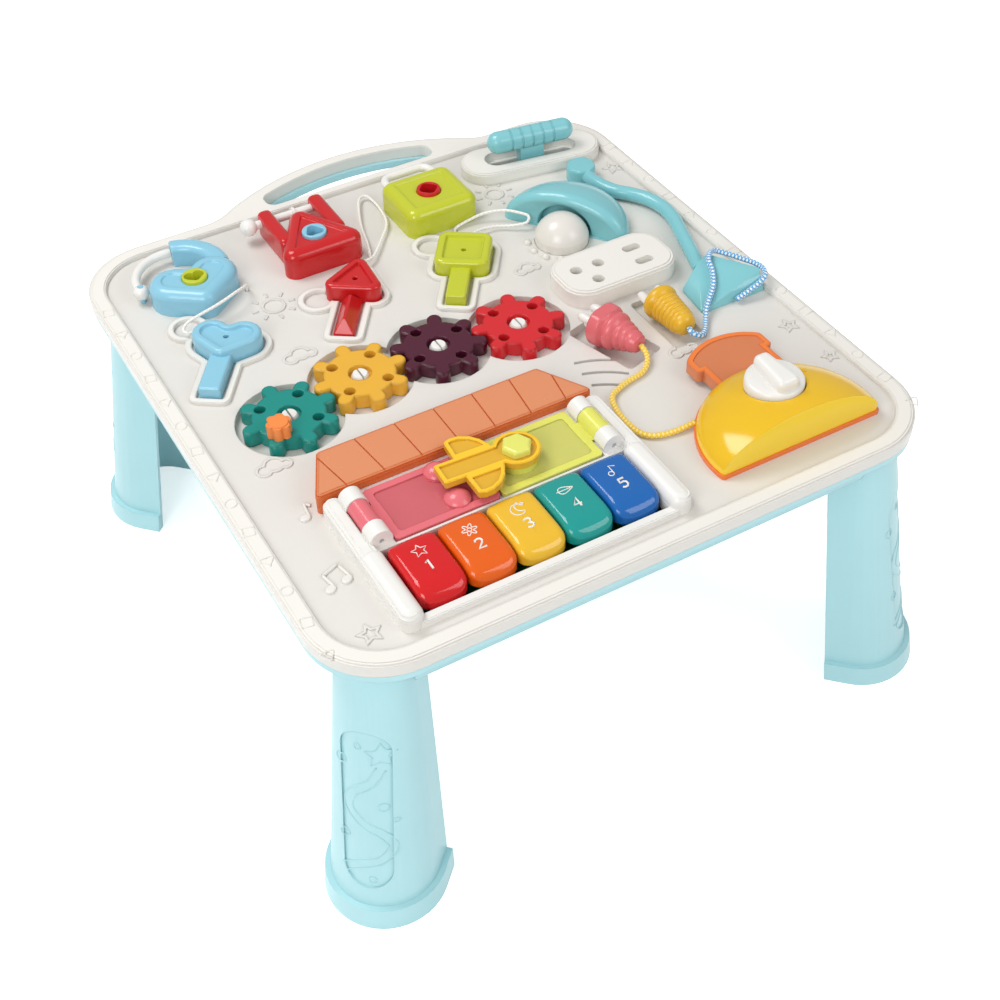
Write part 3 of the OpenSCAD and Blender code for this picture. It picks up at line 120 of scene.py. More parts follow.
def through(points, steps):
    """More points on the smooth curve through the given ones."""
    out = []
    for i in range(len(points) - 1):
        a, b, c = points[max(i - 1, 0)], points[i], points[i + 1]
        d = points[min(i + 2, len(points) - 1)]
        for j in range(steps):
            t = j / steps
            out.append(0.5 * (2 * b + (c - a) * t + (2 * a - 5 * b + 4 * c - d) * t * t
                              + (3 * b - a - 3 * c + d) * t ** 3))
    return out + [points[-1]]


def tubes(name, paths, radius, sides):
    """Round tubes along paths, with a UV map in millimetres along them and in turns around them."""
    mesh = bpy.data.meshes.new(name)
    build = bmesh.new()
    uv = build.loops.layers.uv.new("along")
    for path in paths:
        rings, lengths, run, last = [], [], 0, None
        side = (path[1] - path[0]).orthogonal().normalized()
        for i, p in enumerate(path):
            way = (path[min(i + 1, len(path) - 1)] - path[max(i - 1, 0)]).normalized()
            side = (side - way * side.dot(way)).normalized()
            other = way.cross(side)
            run += (p - last).length * 1000 if last else 0
            last = p
            lengths.append(run)
            rings.append([build.verts.new(p + radius * (side * math.cos(a) + other * math.sin(a)))
                          for a in (math.tau * k / sides for k in range(sides))])
        for i in range(len(rings) - 1):
            for k in range(sides):
                n = (k + 1) % sides
                face = build.faces.new((rings[i][k], rings[i][n], rings[i + 1][n], rings[i + 1][k]))
                corners = ((i, k), (i, k + 1), (i + 1, k + 1), (i + 1, k))
                for loop, (row, col) in zip(face.loops, corners):
                    loop[uv].uv = (lengths[row], col / sides)
        build.faces.new(list(reversed(rings[0])))
        build.faces.new(rings[-1])
    build.to_mesh(mesh)
    build.free()
    return mesh


def braided_nylon(name, first, second, pitch, depth):
    """Braided cord: two sets of strands wound both ways, with flecks of the second colour where they cross.
    The strands of the real cord are half as wide; they are drawn coarser so that they show."""
    made = bpy.data.materials.new(name)
    made.use_nodes = True
    tree = made.node_tree
    shader = tree.nodes["Principled BSDF"]
    place = add(tree, "ShaderNodeUVMap", uv_map="along")
    split = add(tree, "ShaderNodeSeparateXYZ", {"Vector": place.outputs["UV"]})
    along = add(tree, "ShaderNodeMath", {0: split.outputs["X"], 1: 1 / pitch}, operation="MULTIPLY")
    around = add(tree, "ShaderNodeMath", {0: split.outputs["Y"], 1: 4.0}, operation="MULTIPLY")
    plus = add(tree, "ShaderNodeMath", {0: along.outputs[0], 1: around.outputs[0]}, operation="ADD")
    minus = add(tree, "ShaderNodeMath", {0: along.outputs[0], 1: around.outputs[0]}, operation="SUBTRACT")
    one = add(tree, "ShaderNodeMath", {0: plus.outputs[0], 1: 1.0}, operation="PINGPONG")
    two = add(tree, "ShaderNodeMath", {0: minus.outputs[0], 1: 1.0}, operation="PINGPONG")
    strands = add(tree, "ShaderNodeMath", {0: one.outputs[0], 1: two.outputs[0]}, operation="MAXIMUM")
    both = add(tree, "ShaderNodeMath", {0: one.outputs[0], 1: two.outputs[0]}, operation="MINIMUM")
    edge = add(tree, "ShaderNodeMath", {0: both.outputs[0], 1: 0.4}, operation="GREATER_THAN")
    tint = add(tree, "ShaderNodeMix", {"Factor": edge.outputs[0], "A": linear(first), "B": linear(second)},
               data_type="RGBA")
    tree.links.new(tint.outputs["Result"], shader.inputs["Base Color"])
    relief = add(tree, "ShaderNodeBump", {"Height": strands.outputs[0], "Strength": 0.7,
                                          "Distance": depth / 1000})
    tree.links.new(relief.outputs["Normal"], shader.inputs["Normal"])
    shader.inputs["Roughness"].default_value = 0.62
    shader.inputs["Sheen Weight"].default_value = 0.3
    return made


white_nylon = braided_nylon("white nylon cord", "#f3f1ec", "#e4e1da", 1.6, 0.15)
tether_radius = 1.0
tethers = (
    ("heart", (
        (-105, 130, -2), (-105, 130, 3), (-107, 124, 8.5), (-112, 118.5, 11.5), (-119, 114, 13),
        (-127, 110.5, 13), (-136, 108.5, 12), (-146, 108, 10), (-155, 107, 8), (-159.5, 103, 6.4),
        (-158, 99, 6), (-154, 99, 6))),
    ("triangle", (
        (-18, 120, -2), (-18, 120, 1.5), (-17, 124, 3.4), (-14, 134, 3.4), (-9, 153, 3.4), (-2, 171, 3.4),
        (4, 183, 3.4), (9, 186, 3.4), (12, 181, 3.4), (12, 165, 3.4), (8, 147, 3.4), (-4, 131, 3.4),
        (-18, 115, 4.4), (-29, 110, 6.6))),
    ("square", (
        (47, 118, -2), (47, 118, 2), (57, 119, 4), (70, 117, 7), (82, 110, 9), (90, 101, 9), (93, 96, 8),
        (89, 93, 6), (80, 98, 4), (70, 104, 3.4), (58, 104, 4.6), (46, 99, 6.4))),
)
for shape, stops in tethers:
    path = through([on_table(*p) for p in stops], 6)
    mesh = tubes(shape + "_cord", [path], tether_radius / 1000, 12)
    cord = put(shape + "_cord", mesh, None, 0)
    cord.data.shade_smooth()
    cord.data.materials.append(white_nylon)
    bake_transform(cord)
    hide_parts(shape + "_tether")

# ---- Plugs' ropes ----
# Soft braided ropes, 3.6 mm thick: the pink plug's is yellow, the yellow plug's is blue and white.

rope_radius, rope_pitch, rope_relief = 1.8, 1.3, 0.35
yellow_nylon = braided_nylon("yellow rope", "#eec22c", "#f8e48a", rope_pitch, rope_relief)
blue_nylon = braided_nylon("blue rope", "#5aa5da", "#f2f6f9", rope_pitch, rope_relief)
plug_lean, tail_reach = math.radians(16), 34.8
pink_tail = (71 + tail_reach * math.sin(plug_lean), -30 - tail_reach * math.cos(plug_lean))
ropes = (
    ("pink_rope", "pink_plug", "rope_yellow", (80, -100, 8), yellow_nylon, (
        (*pink_tail, 8), (80, -72, 5), (72, -80, 2.4), (56, -84, 2.4), (43, -90, 2.4), (38, -102, 2.4),
        (37, -116, 2.4), (39, -128, 2.4), (46, -134, 2.4), (58, -136.4, 2.4), (71, -136.6, 3.4))),
    ("yellow_rope", "yellow_plug", "rope_blue", (150, -64.8, 8), blue_nylon, (
        (116, -64.8, 8), (116.5, -69, 6.5), (122, -70.5, 4), (128, -66, 3), (134, -58, 3.2),
        (139, -51.5, 5.6), (145, -46, 8), (150, -42, 10), (154, -37.5, 12.4), (156.5, -33, 14.2),
        (158.5, -28.5, 16),
        (160, -23, 17.6), (165, -16.5, 17.6), (172, -12, 15), (179, -16.5, 13), (185, -25, 12),
        (189.5, -34, 12), (190.5, -42, 12), (187, -48.5, 11.4), (180.5, -51, 9.6), (173, -51.6, 7.2),
        (167, -51.6, 5), (163, -51.6, 3.6))),
)
# A rope runs from its plug and turns smoothly to lying on the table; calm is where it lies still.
for name, plug, slot, calm, finish, stops in ropes:
    path = through([on_table(*p) for p in stops], 8)
    rope = put(name, tubes(name, [path], rope_radius / 1000, 16), None, 0)
    rope.data.shade_smooth()
    rope.data.materials.append(finish)
    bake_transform(rope)
    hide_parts(name)

# ---- Tray and legs ----
# The lower shell and the four legs are injection moulded from pale teal polypropylene. The legs are open
# on the inner side, plug into the shell's corners, and carry a low relief in a sunk window.

body_of = {node: body for body, nodes in frame["record"]["behaviour"]["bodies"].items() for node in nodes}


def moulded(name, colour, rough, grain, peel, edge=0.4, cloud=14.0, shift=0.03):
    """Injection-moulded plastic. grain is the size of its surface texture, peel the texture's depth and
    edge the radius at which its corners leave the mould, in mm. The colour drifts a little, where the
    melt flowed, over patches as wide as cloud."""
    made = bpy.data.materials.new(name)
    made.use_nodes = True
    tree = made.node_tree
    shader = tree.nodes["Principled BSDF"]
    place = add(tree, "ShaderNodeTexCoord")
    drift = add(tree, "ShaderNodeTexNoise", {"Vector": place.outputs["Object"], "Scale": 1000 / cloud,
                                             "Detail": 2.0})
    base = linear(colour)
    dark = tuple(c * (1 - shift) for c in base[:3]) + (1,)
    light = tuple(min(1, c * (1 + shift)) for c in base[:3]) + (1,)
    tint = add(tree, "ShaderNodeMix", {"Factor": drift.outputs["Fac"], "A": dark, "B": light},
               data_type="RGBA")
    tree.links.new(tint.outputs["Result"], shader.inputs["Base Color"])
    wear = add(tree, "ShaderNodeTexNoise", {"Vector": place.outputs["Object"],
                                            "Scale": 1000 / (cloud * 0.4), "Detail": 4.0})
    gloss = add(tree, "ShaderNodeMapRange", {"Value": wear.outputs["Fac"], "To Min": rough - 0.05,
                                             "To Max": rough + 0.05})
    tree.links.new(gloss.outputs["Result"], shader.inputs["Roughness"])
    fine = add(tree, "ShaderNodeTexNoise", {"Vector": place.outputs["Object"], "Scale": 1000 / grain,
                                            "Detail": 1.0})
    corner = add(tree, "ShaderNodeBevel", {"Radius": edge / 1000}, samples=4)
    relief = add(tree, "ShaderNodeBump", {"Height": fine.outputs["Fac"], "Strength": 0.5,
                                          "Distance": peel / 1000, "Normal": corner.outputs["Normal"]})
    tree.links.new(relief.outputs["Normal"], shader.inputs["Normal"])
    shader.inputs["IOR"].default_value = 1.49
    return made


def solid_copy(node):
    """A node's solid as a new welded mesh. The shading that came with the file goes, because it fits the
    solid's own corners only."""
    build = bmesh.new()
    build.from_mesh(frame["nodes"][node].data)
    bmesh.ops.remove_doubles(build, verts=build.verts, dist=2e-6)
    mesh = bpy.data.meshes.new(node + "_moulding")
    build.to_mesh(mesh)
    build.free()
    mesh.attributes.remove(mesh.attributes["custom_normal"])
    return mesh


def dressed(node, finish, smooth=38):
    """A smoothly shaded copy of a node's solid with its finish, in place of the node."""
    mesh = solid_copy(node)
    mesh.materials.append(finish)
    piece = put(node + "_moulding", mesh, None, smooth)
    facing = piece.modifiers.new("facing", "WEIGHTED_NORMAL")
    facing.keep_sharp = True
    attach(piece, body_of[node])
    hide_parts(node)
    return piece


# Polypropylene from a finely etched mould: a satin sheen and a grain of 0.8 mm, drawn twice as coarse
# as the real one so that it shows.
teal_pp = moulded("satin polypropylene, pale teal", "#aedbe1", 0.36, 0.8, 0.03, 0.8, 30)
dressed("under_tray", teal_pp)
leg_places = (("front_left", -1, -1), ("front_right", 1, -1), ("rear_left", -1, 1), ("rear_right", 1, 1))
for side, _, _ in leg_places:
    dressed("leg_" + side, teal_pp)


def ringed(x, y, radius, corners, start=0.0):
    """A closed line round a place: a ring, or a star where radius is a pair of radii."""
    pair = radius if isinstance(radius, tuple) else (radius, radius)
    turns = [start + math.tau * k / corners for k in range(corners + 1)]
    return [Vector((x + pair[k % 2] * math.cos(a), y + pair[k % 2] * math.sin(a)))
            for k, a in enumerate(turns)]


# The relief in a leg's window: a star over a winding ribbon with rings beside it. The lines stand
# 0.5 mm proud of the window's curved floor.
winding = through([Vector(p) for p in ((9, 33), (3, 22), (-8, 12), (-11, 1), (-3, -9), (8, -16), (15, -26),
                                       (9, -37), (-4, -43), (-15, -50))], 6)
edges = ([], [])
for i, p in enumerate(winding):
    along = (winding[min(i + 1, len(winding) - 1)] - winding[max(i - 1, 0)]).normalized()
    edges[0].append(p + 2.8 * Vector((-along.y, along.x)))
    edges[1].append(p - 2.8 * Vector((-along.y, along.x)))
figures = [edges[0], edges[1], ringed(9, 43, (9, 4.6), 10, math.pi / 10), ringed(-4, 48, 2, 12),
           ringed(10, 4, 3, 16), ringed(-14, -22, 3, 16), ringed(3, -54, 2.4, 16), ringed(-15, 34, 3.2, 16),
           ringed(17, -6, 1.6, 12)]
window_mid = -116
for side, sx, sy in leg_places:
    skin = BVHTree.FromPolygons([v.co for v in frame["nodes"]["leg_" + side].data.vertices],
                                [f.vertices for f in frame["nodes"]["leg_" + side].data.polygons])
    outward = Vector((sx, sy, 0)).normalized()
    sideways = Vector((-outward.y, outward.x, 0))
    lines = []
    for figure in figures:
        line = []
        for p in figure:
            start = on_table(sx * 173, sy * 187, window_mid + p.y) + outward * 0.1 + sideways * p.x / 1000
            spot = skin.ray_cast(start, -outward, 0.12)[0]
            if spot:
                line.append(spot)
        lines.append(line)
    relief = tubes("leg_relief_" + side, [line for line in lines if len(line) > 2], 0.00055, 8)
    relief.materials.append(teal_pp)
    put("leg_relief_" + side, relief, body_of["leg_" + side], 60)

# Galvanised steel screws hold the tray to the panel; the cover and the switch are under the tray too.
zinc_steel = moulded("zinc-plated steel", "#b9bcbe", 0.32, 0.5, 0.01)
zinc_steel.node_tree.nodes["Principled BSDF"].inputs["Metallic"].default_value = 1
dressed("case_screws", zinc_steel)
dressed("battery_cover", teal_pp)
dark_abs = moulded("satin ABS, dark grey", "#3b3c3f", 0.4, 0.6, 0.02)
dressed("power_switch", dark_abs)

# ---- Works inside the case ----
# Circuit board, rubber key contacts, loudspeaker, three cells and the piano's steel axle. The case hides
# them, and they show only when it is opened or when a key is lifted.

inside = (
    ("circuit_board", moulded("glass-epoxy circuit board", "#2f7d4a", 0.35, 0.5, 0.02)),
    ("contact_pads", moulded("silicone rubber, dark grey", "#3a3a3c", 0.6, 0.4, 0.02)),
    ("speaker", moulded("pressed paper cone, dark grey", "#353537", 0.75, 0.5, 0.05)),
    ("battery_cells", moulded("printed steel cell jacket", "#8d9296", 0.3, 0.6, 0.01)),
    ("key_axle", moulded("drawn steel rod", "#b4b7ba", 0.3, 0.3, 0.01)),
)
for node, finish in inside:
    frame["nodes"][node].data.materials.clear()
    frame["nodes"][node].data.materials.append(finish)

# ---- Play panel ----
# One large moulding of satin off-white ABS: deck, raised border, carrying handle, gear wells, the key
# beds' rims, and the blocks of the slider and the socket. Low reliefs stand 0.8 mm proud.


def two_toned(finish, colour, kind, low, high):
    """The finish turns to a second colour where the height in mm, or the slope's level share, passes from
    low to high."""
    tree = finish.node_tree
    shader = tree.nodes["Principled BSDF"]
    first = shader.inputs["Base Color"].links[0].from_socket
    if kind == "height":
        source = add(tree, "ShaderNodeTexCoord").outputs["Object"]
        low, high = ((h + surface_z) / 1000 for h in (low, high))
    else:
        source = add(tree, "ShaderNodeNewGeometry").outputs["True Normal"]
    split = add(tree, "ShaderNodeSeparateXYZ", {"Vector": source})
    share = add(tree, "ShaderNodeMapRange", {"Value": split.outputs["Z"], "From Min": low,
                                             "From Max": high})
    tint = add(tree, "ShaderNodeMix", {"Factor": share.outputs["Result"], "A": first, "B": linear(colour)},
               data_type="RGBA")
    tree.links.new(tint.outputs["Result"], shader.inputs["Base Color"])


panel_abs = moulded("satin ABS, warm off-white", "#dcd9d3", 0.32, 0.7, 0.02, 1.0, 40, 0.012)
# Painted highlight: raised parts are drawn a little lighter than the deck, for the light they catch.
two_toned(panel_abs, "#e9e6df", "height", 1.0, 2.2)
dressed("top_panel", panel_abs, 42)


def rounded(corners, inset=0.0, steps=6):
    """An outline's points, with each corner (x, y, radius) rounded and all of it moved inwards by
    inset. It has as many points at any inset; corners are named anticlockwise."""
    count = len(corners)
    spots = [Vector(corner[:2]) for corner in corners]
    ways = [(spots[(i + 1) % count] - spots[i]).normalized() for i in range(count)]
    out = []
    for i, corner in enumerate(corners):
        came, goes = ways[i - 1], ways[i]
        cross = came.x * goes.y - came.y * goes.x
        bend = math.atan2(cross, came.dot(goes))
        mid = Vector((-came.y - goes.y, came.x + goes.x))
        spot = spots[i] + mid * (inset / (1 + came.dot(goes)))
        radius = max(corner[2] - inset * (1 if bend > 0 else -1), 0.4)
        reach = radius * math.tan(abs(bend) / 2)
        start = spot - came * reach
        side = Vector((-came.y, came.x)) * (radius if bend > 0 else -radius)
        centre = start + side
        for k in range(steps + 1):
            turned = bend * k / steps
            arm = -side
            out.append(centre + Vector((arm.x * math.cos(turned) - arm.y * math.sin(turned),
                                        arm.x * math.sin(turned) + arm.y * math.cos(turned))))
    return out


def lofted(name, rings, finish, body, at=(0, 0), turn=0.0, warp=None, smooth=40, hollow=False):
    """A closed shape through rings of (points, height), all with as many points, capped at both ends, or
    joined end to end when it is hollow.
    It is drawn about its own middle, turned by turn degrees, and stood at the place at."""
    build = bmesh.new()
    spin = math.radians(turn)
    layers = []
    for points, height in rings:
        layer = []
        for p in points:
            x, y, z = p[0], p[1], height
            if warp:
                x, y, z = warp(x, y, z)
            layer.append(build.verts.new(on_table(at[0] + x * math.cos(spin) - y * math.sin(spin),
                                                  at[1] + x * math.sin(spin) + y * math.cos(spin), z)))
        layers.append(layer)
    for low, high in zip(layers, layers[1:] + layers[:1] if hollow else layers[1:]):
        for k in range(len(low)):
            n = (k + 1) % len(low)
            build.faces.new((low[k], low[n], high[n], high[k]))
    if not hollow:
        build.faces.new(list(reversed(layers[0])))
        build.faces.new(layers[-1])
    bmesh.ops.remove_doubles(build, verts=build.verts, dist=1e-6)
    bmesh.ops.recalc_face_normals(build, faces=build.faces)
    mesh = bpy.data.meshes.new(name)
    build.to_mesh(mesh)
    build.free()
    mesh.materials.append(finish)
    piece = put(name, mesh, None, smooth)
    facing = piece.modifiers.new("facing", "WEIGHTED_NORMAL")
    facing.keep_sharp = True
    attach(piece, body)
    return piece


def bullnose(outline, low, high, radius, steps=5):
    """Rings of a block from low to high whose upper edge is a quarter round."""
    arc = [(radius * (1 - math.cos(a)), high - radius + radius * math.sin(a))
           for a in (math.pi / 2 * k / steps for k in range(steps + 1))]
    return [(outline(0), low)] + [(outline(inset), z) for inset, z in arc]


def rectangle(width, depth, radius, x=0.0, y=0.0):
    return [(x - width / 2, y - depth / 2, radius), (x + width / 2, y - depth / 2, radius),
            (x + width / 2, y + depth / 2, radius), (x - width / 2, y + depth / 2, radius)]


def oval(width, depth, count):
    """Points round an oval with these half widths."""
    return [Vector((width * math.cos(a), depth * math.sin(a)))
            for a in (math.tau * k / count for k in range(count))]


def circle_of(points, radius):
    """The points moved out or in to a circle round the middle."""
    return [Vector(p).normalized() * radius for p in points]


# Figures in low relief: squares, hearts and rings along the border, and two notes beside the house.
border_x, border_z, border_step = 194, 3.0, 26
lines = []
for side in (-1, 1):
    for k in range(14):
        middle = Vector((side * border_x, 150 - border_step * k))
        if k % 3 == 0:
            figure = ringed(middle.x, middle.y, 4.6, 4, math.pi / 4 + 0.2 * side)
        elif k % 3 == 1:
            figure = [middle + Vector((3.9 * math.sin(a) ** 3, 3.4 * math.cos(a) - 1.3 * math.cos(2 * a)))
                      for a in (math.tau * n / 20 for n in range(21))]
        else:
            figure = ringed(middle.x, middle.y, 3.4, 18)
        lines.append([on_table(p.x, p.y, border_z) for p in figure])
border_lines = tubes("border_figures", lines, 0.0004, 8)
border_lines.materials.append(panel_abs)
put("border_figures", border_lines, "table", 60)

for name, x, y, turned in (("note_pair", -168, -139, 0.2), ("note_single", -161, -83, -0.1)):
    across = Vector((math.cos(turned), math.sin(turned)))
    upward = Vector((-across.y, across.x))
    middle = Vector((x, y))
    pair = (-5.5, 5.5) if name == "note_pair" else (0,)
    stems = [[middle + across * (side + 2.6) + upward * h for h in (-5, 6)] for side in pair]
    if len(pair) == 2:
        stems.append([middle + across * -2.9 + upward * 6, middle + across * 8.1 + upward * 8])
    else:
        stems.append([middle + across * 2.6 + upward * 6, middle + across * 6 + upward * 3.4])
    lines = [[on_table(p.x, p.y, 0.6) for p in stem] for stem in stems]
    stem_mesh = tubes(name + "_stems", lines, 0.0011, 8)
    stem_mesh.materials.append(panel_abs)
    put(name + "_stems", stem_mesh, "table", 60)
    for n, side in enumerate(pair):
        spot = middle + across * side - upward * 5
        head = oval(3.7, 3, 24)
        rings = [(head, -0.5), (head, 0.6), ([p * 0.9 for p in head], 1.3), ([p * 0.6 for p in head], 1.7)]
        lofted("%s_head_%d" % (name, n), rings, panel_abs, "table", tuple(spot),
               math.degrees(turned) + 20)

# ---- House and piano ----
# A white ABS surround with two hinge brackets holds five glossy keys, which rock on a steel axle.
# Each key has a number and a small figure, pad printed in white on its rounded front.

white_abs = moulded("polished ABS, white", "#e9e7e2", 0.22, 1.2, 0.01, 0.5, 30, 0.012)
dressed("house_frame", white_abs, 42)
dressed("hinge_pins", zinc_steel)
piano_x, key_pitch, key_width = -61, 30.8, 29.6
key_front, key_back, key_low, key_top = -187.5, -140.5, 1.0, 12.5
key_edge, key_roll, key_drop = 4, 17, 9.5
tail_long, tail_drop = 14, 1.2

# A soft cheek covers each side rail from the front up to its hinge.
cheek_width, cheek_depth, cheek_high, cheek_off, cheek_mid = 14.2, 58.3, 12.6, 85, -166
for side in (-1, 1):
    plan = rectangle(cheek_width, cheek_depth, 7, piano_x + side * cheek_off, cheek_mid)
    rings = bullnose(lambda inset: rounded(plan, inset, 8), 0, cheek_high, 6, 8)
    lofted("house_cheek_%d" % side, rings, white_abs, "table", smooth=60)


def rolled(x, y, z):
    """The top of a key bends down to its front in a quarter of an ellipse, and a little to its back."""
    share = min(max((y - key_front) / key_roll, 0), 1)
    drop = key_drop * (1 - math.sqrt(max(0, 1 - (1 - share) ** 2)))
    tail = max(0, y - (key_back - tail_long)) / tail_long
    return x, y, z - (drop + tail_drop * tail * tail) * (z - key_low) / (key_top - key_low)


def key_outline(inset):
    half = key_width / 2
    points = rounded(((0, key_front, 44), (half, key_front + 2.2, 8), (half, key_back - 1.6, 4),
                      (0, key_back, 60), (-half, key_back - 1.6, 4), (-half, key_front + 2.2, 8)), inset, 6)
    return [p.lerp(q, k / n) for p, q, n in zip(points, points[1:] + points[:1], key_parts)
            for k in range(n)]


def towards(points, share):
    """The outline's points moved towards the key's middle line."""
    out = []
    for p in points:
        spine = Vector((0, min(max(p.y, key_front + 12), key_back - 10)))
        out.append(p.lerp(spine, share))
    return out


def printed(name, lines, number, at, radius):
    """White lines as thick as twice the radius, printed on a key."""
    paths = []
    for line in lines:
        spots = [rolled(p.x, p.y + at, key_top + 0.25) for p in line]
        paths.append([on_table(piano_x + (number - 3) * key_pitch + x, y, z) for x, y, z in spots])
    mesh = tubes(name, paths, radius, 6)
    mesh.materials.append(print_ink)
    return put(name, mesh, "piano_key_%d" % number, 60)


key_parts = [24 if i in (13, 34) else 3 if i in (6, 20, 27, 41) else 1 for i in range(42)]
print_ink = moulded("white pad-printing ink", "#f3efe9", 0.45, 0.6, 0.005)
petals = [Vector((r * math.cos(a), r * math.sin(a))) for r, a in
          ((3.4 + 1.3 * math.cos(6 * t), t) for t in (math.tau * k / 48 for k in range(49)))]
moon = [Vector((4.4 * math.cos(a), 4.4 * math.sin(a))) for a in
        (math.radians(50 + 13 * k) for k in range(21))]
moon += [Vector((2.6 + 3.7 * math.cos(a), 1.6 + 3.7 * math.sin(a))) for a in
         (math.radians(274 - 10 * k) for k in range(19))]
blade = [Vector((4.6 * math.cos(a), 2.4 * math.sin(a) * (1.3 - math.cos(a)) / 1.4)) for a in
         (math.tau * k / 32 for k in range(33))]
motifs = (
    [ringed(0, 0, (4.8, 2.3), 10, math.pi / 2)],
    [petals, ringed(0, 0, 1.3, 12)],
    [moon, ringed(3.6, 3, (1.5, 0.7), 8)],
    [blade, [Vector((-6, 0)), Vector((3, 0))]],
    [ringed(-1.8, -2.4, 1.7, 14), [Vector((-0.1, -2.4)), Vector((-0.1, 4)), Vector((3.4, 2.4))]],
)
strokes = {
    1: [[(-1.2, 1.6), (0.3, 2.8), (0.3, -2.8)]],
    2: [[(-1.7, 1.5), (-1.2, 2.5), (0, 2.9), (1.3, 2.5), (1.7, 1.4), (1.2, 0.2), (-1.8, -2.8),
         (1.9, -2.8)]],
    3: [[(-1.6, 2.2), (-0.4, 2.9), (1.1, 2.6), (1.5, 1.5), (0.9, 0.4), (-0.2, 0.1), (1.1, -0.3),
         (1.7, -1.4), (1.1, -2.5), (-0.3, -2.9), (-1.7, -2.3)]],
    4: [[(0.9, -2.9), (0.9, 2.9), (-1.9, -1.1), (1.9, -1.1)]],
    5: [[(1.6, 2.8), (-1.2, 2.8), (-1.4, 0.3), (0.2, 0.7), (1.5, 0), (1.6, -1.5), (0.7, -2.7), (-0.7, -2.9),
         (-1.7, -2.3)]],
}
key_shades = (("red", "#d01a1e"), ("orange", "#e05f12"), ("yellow", "#e6b62f"), ("teal", "#1c968f"),
              ("blue", "#1b62ad"))
for number, (word, shade) in enumerate(key_shades, 1):
    gloss_abs = moulded("polished ABS, " + word, shade, 0.1, 1.6, 0.006)
    middle = piano_x + (number - 3) * key_pitch
    rings = bullnose(key_outline, key_low, key_top, key_edge)
    rings += [(towards(key_outline(key_edge), share), key_top + 0.3 * share)
              for share in (0.15, 0.3, 0.45, 0.6, 0.75, 0.88, 0.96)]
    piece = lofted("piano_key_%d_cap" % number, rings, gloss_abs, "piano_key_%d" % number,
                   (middle, 0), 0, rolled, 60)
    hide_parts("piano_key_%d" % number)
    printed("key_motif_%d" % number, motifs[number - 1], number, -154.5, 0.00034)
    digit = [[Vector(p) * 1.25 for p in stroke] for stroke in strokes[number]]
    printed("key_number_%d" % number, digit, number, -166.5, 0.0007)

# ---- Roof ----
# Coral ABS planks with a fine groove between them, in one moulding that is welded to the panel.

roof_abs = moulded("satin ABS, coral", "#d98b61", 0.26, 0.8, 0.008, 0.8, 40, 0.015)
# The sloping walls look deeper in colour than the level planks, because they show less of the sky, and
# the grooves between the planks are darker again.
two_toned(roof_abs, "#ec8038", "slope", 0.95, 0.6)
two_toned(roof_abs, "#cf6228", "height", 13.7, 13.4)
dressed("roof", roof_abs)

# ---- Doors and rocket latch ----
# Two thin leaves of glossy ABS that open like a book, and the latch that turns over them.

rose_abs = moulded("polished ABS, rose", "#c9626a", 0.2, 1.2, 0.01)
leaf_abs = moulded("polished ABS, yellow-green", "#c8c768", 0.2, 1.2, 0.01)
amber_abs = moulded("polished ABS, amber", "#dcab30", 0.16, 1.2, 0.01)
lime_abs = moulded("polished ABS, lime", "#bfc630", 0.16, 1.2, 0.01)
pale_lime_abs = moulded("polished ABS, pale lime", "#dfe06c", 0.16, 1.2, 0.01)
# The raised borders catch more light than the sunk faces; their colour is a little lighter.
two_toned(rose_abs, "#df6f78", "height", 8.9, 9.1)
two_toned(leaf_abs, "#dede66", "height", 8.9, 9.1)
two_toned(amber_abs, "#f6c52f", "height", 18.6, 18.9)
dressed("door_left", rose_abs)
dressed("door_right", leaf_abs)
dressed("rocket_latch", amber_abs)
hexagon = [(p.x, p.y, 1.0) for p in oval(9.5, 9.5, 6)]
rings = bullnose(lambda inset: rounded(hexagon, inset, 3), 18.2, 23, 2.4)
knob = lofted("latch_hexagon", rings, pale_lime_abs, "door_right", (-39.5, -116), -3)
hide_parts("latch_knob")

# ---- Gears and crank knob ----
# Four thick gears of polished ABS on split white pins; a knob on the first one drives the others.

gear_shades = (("deep teal", "#14897f"), ("amber", "#e3ac36"), ("plum", "#4d132b"), ("red", "#cf2229"))
for number, (word, shade) in enumerate(gear_shades, 1):
    dressed("gear_%d" % number, moulded("polished ABS, %s gear" % word, shade, 0.14, 1.2, 0.01, 1.3))
dressed("gear_pins", white_abs)
orange_abs = moulded("polished ABS, orange", "#ee8a45", 0.2, 1.2, 0.01)
dressed("crank_knob", orange_abs)

# ---- Locks and their turning keyholes ----
# Heart, triangle and square locks of polished ABS, hollow underneath, with a dished top inside a soft
# raised border. Each holds a keyhole ring of another colour, which turns with the key.

sky_abs = moulded("polished ABS, sky blue", "#8ac3d9", 0.2, 1.2, 0.01)
red_abs = moulded("polished ABS, red", "#c41d20", 0.18, 1.2, 0.01)


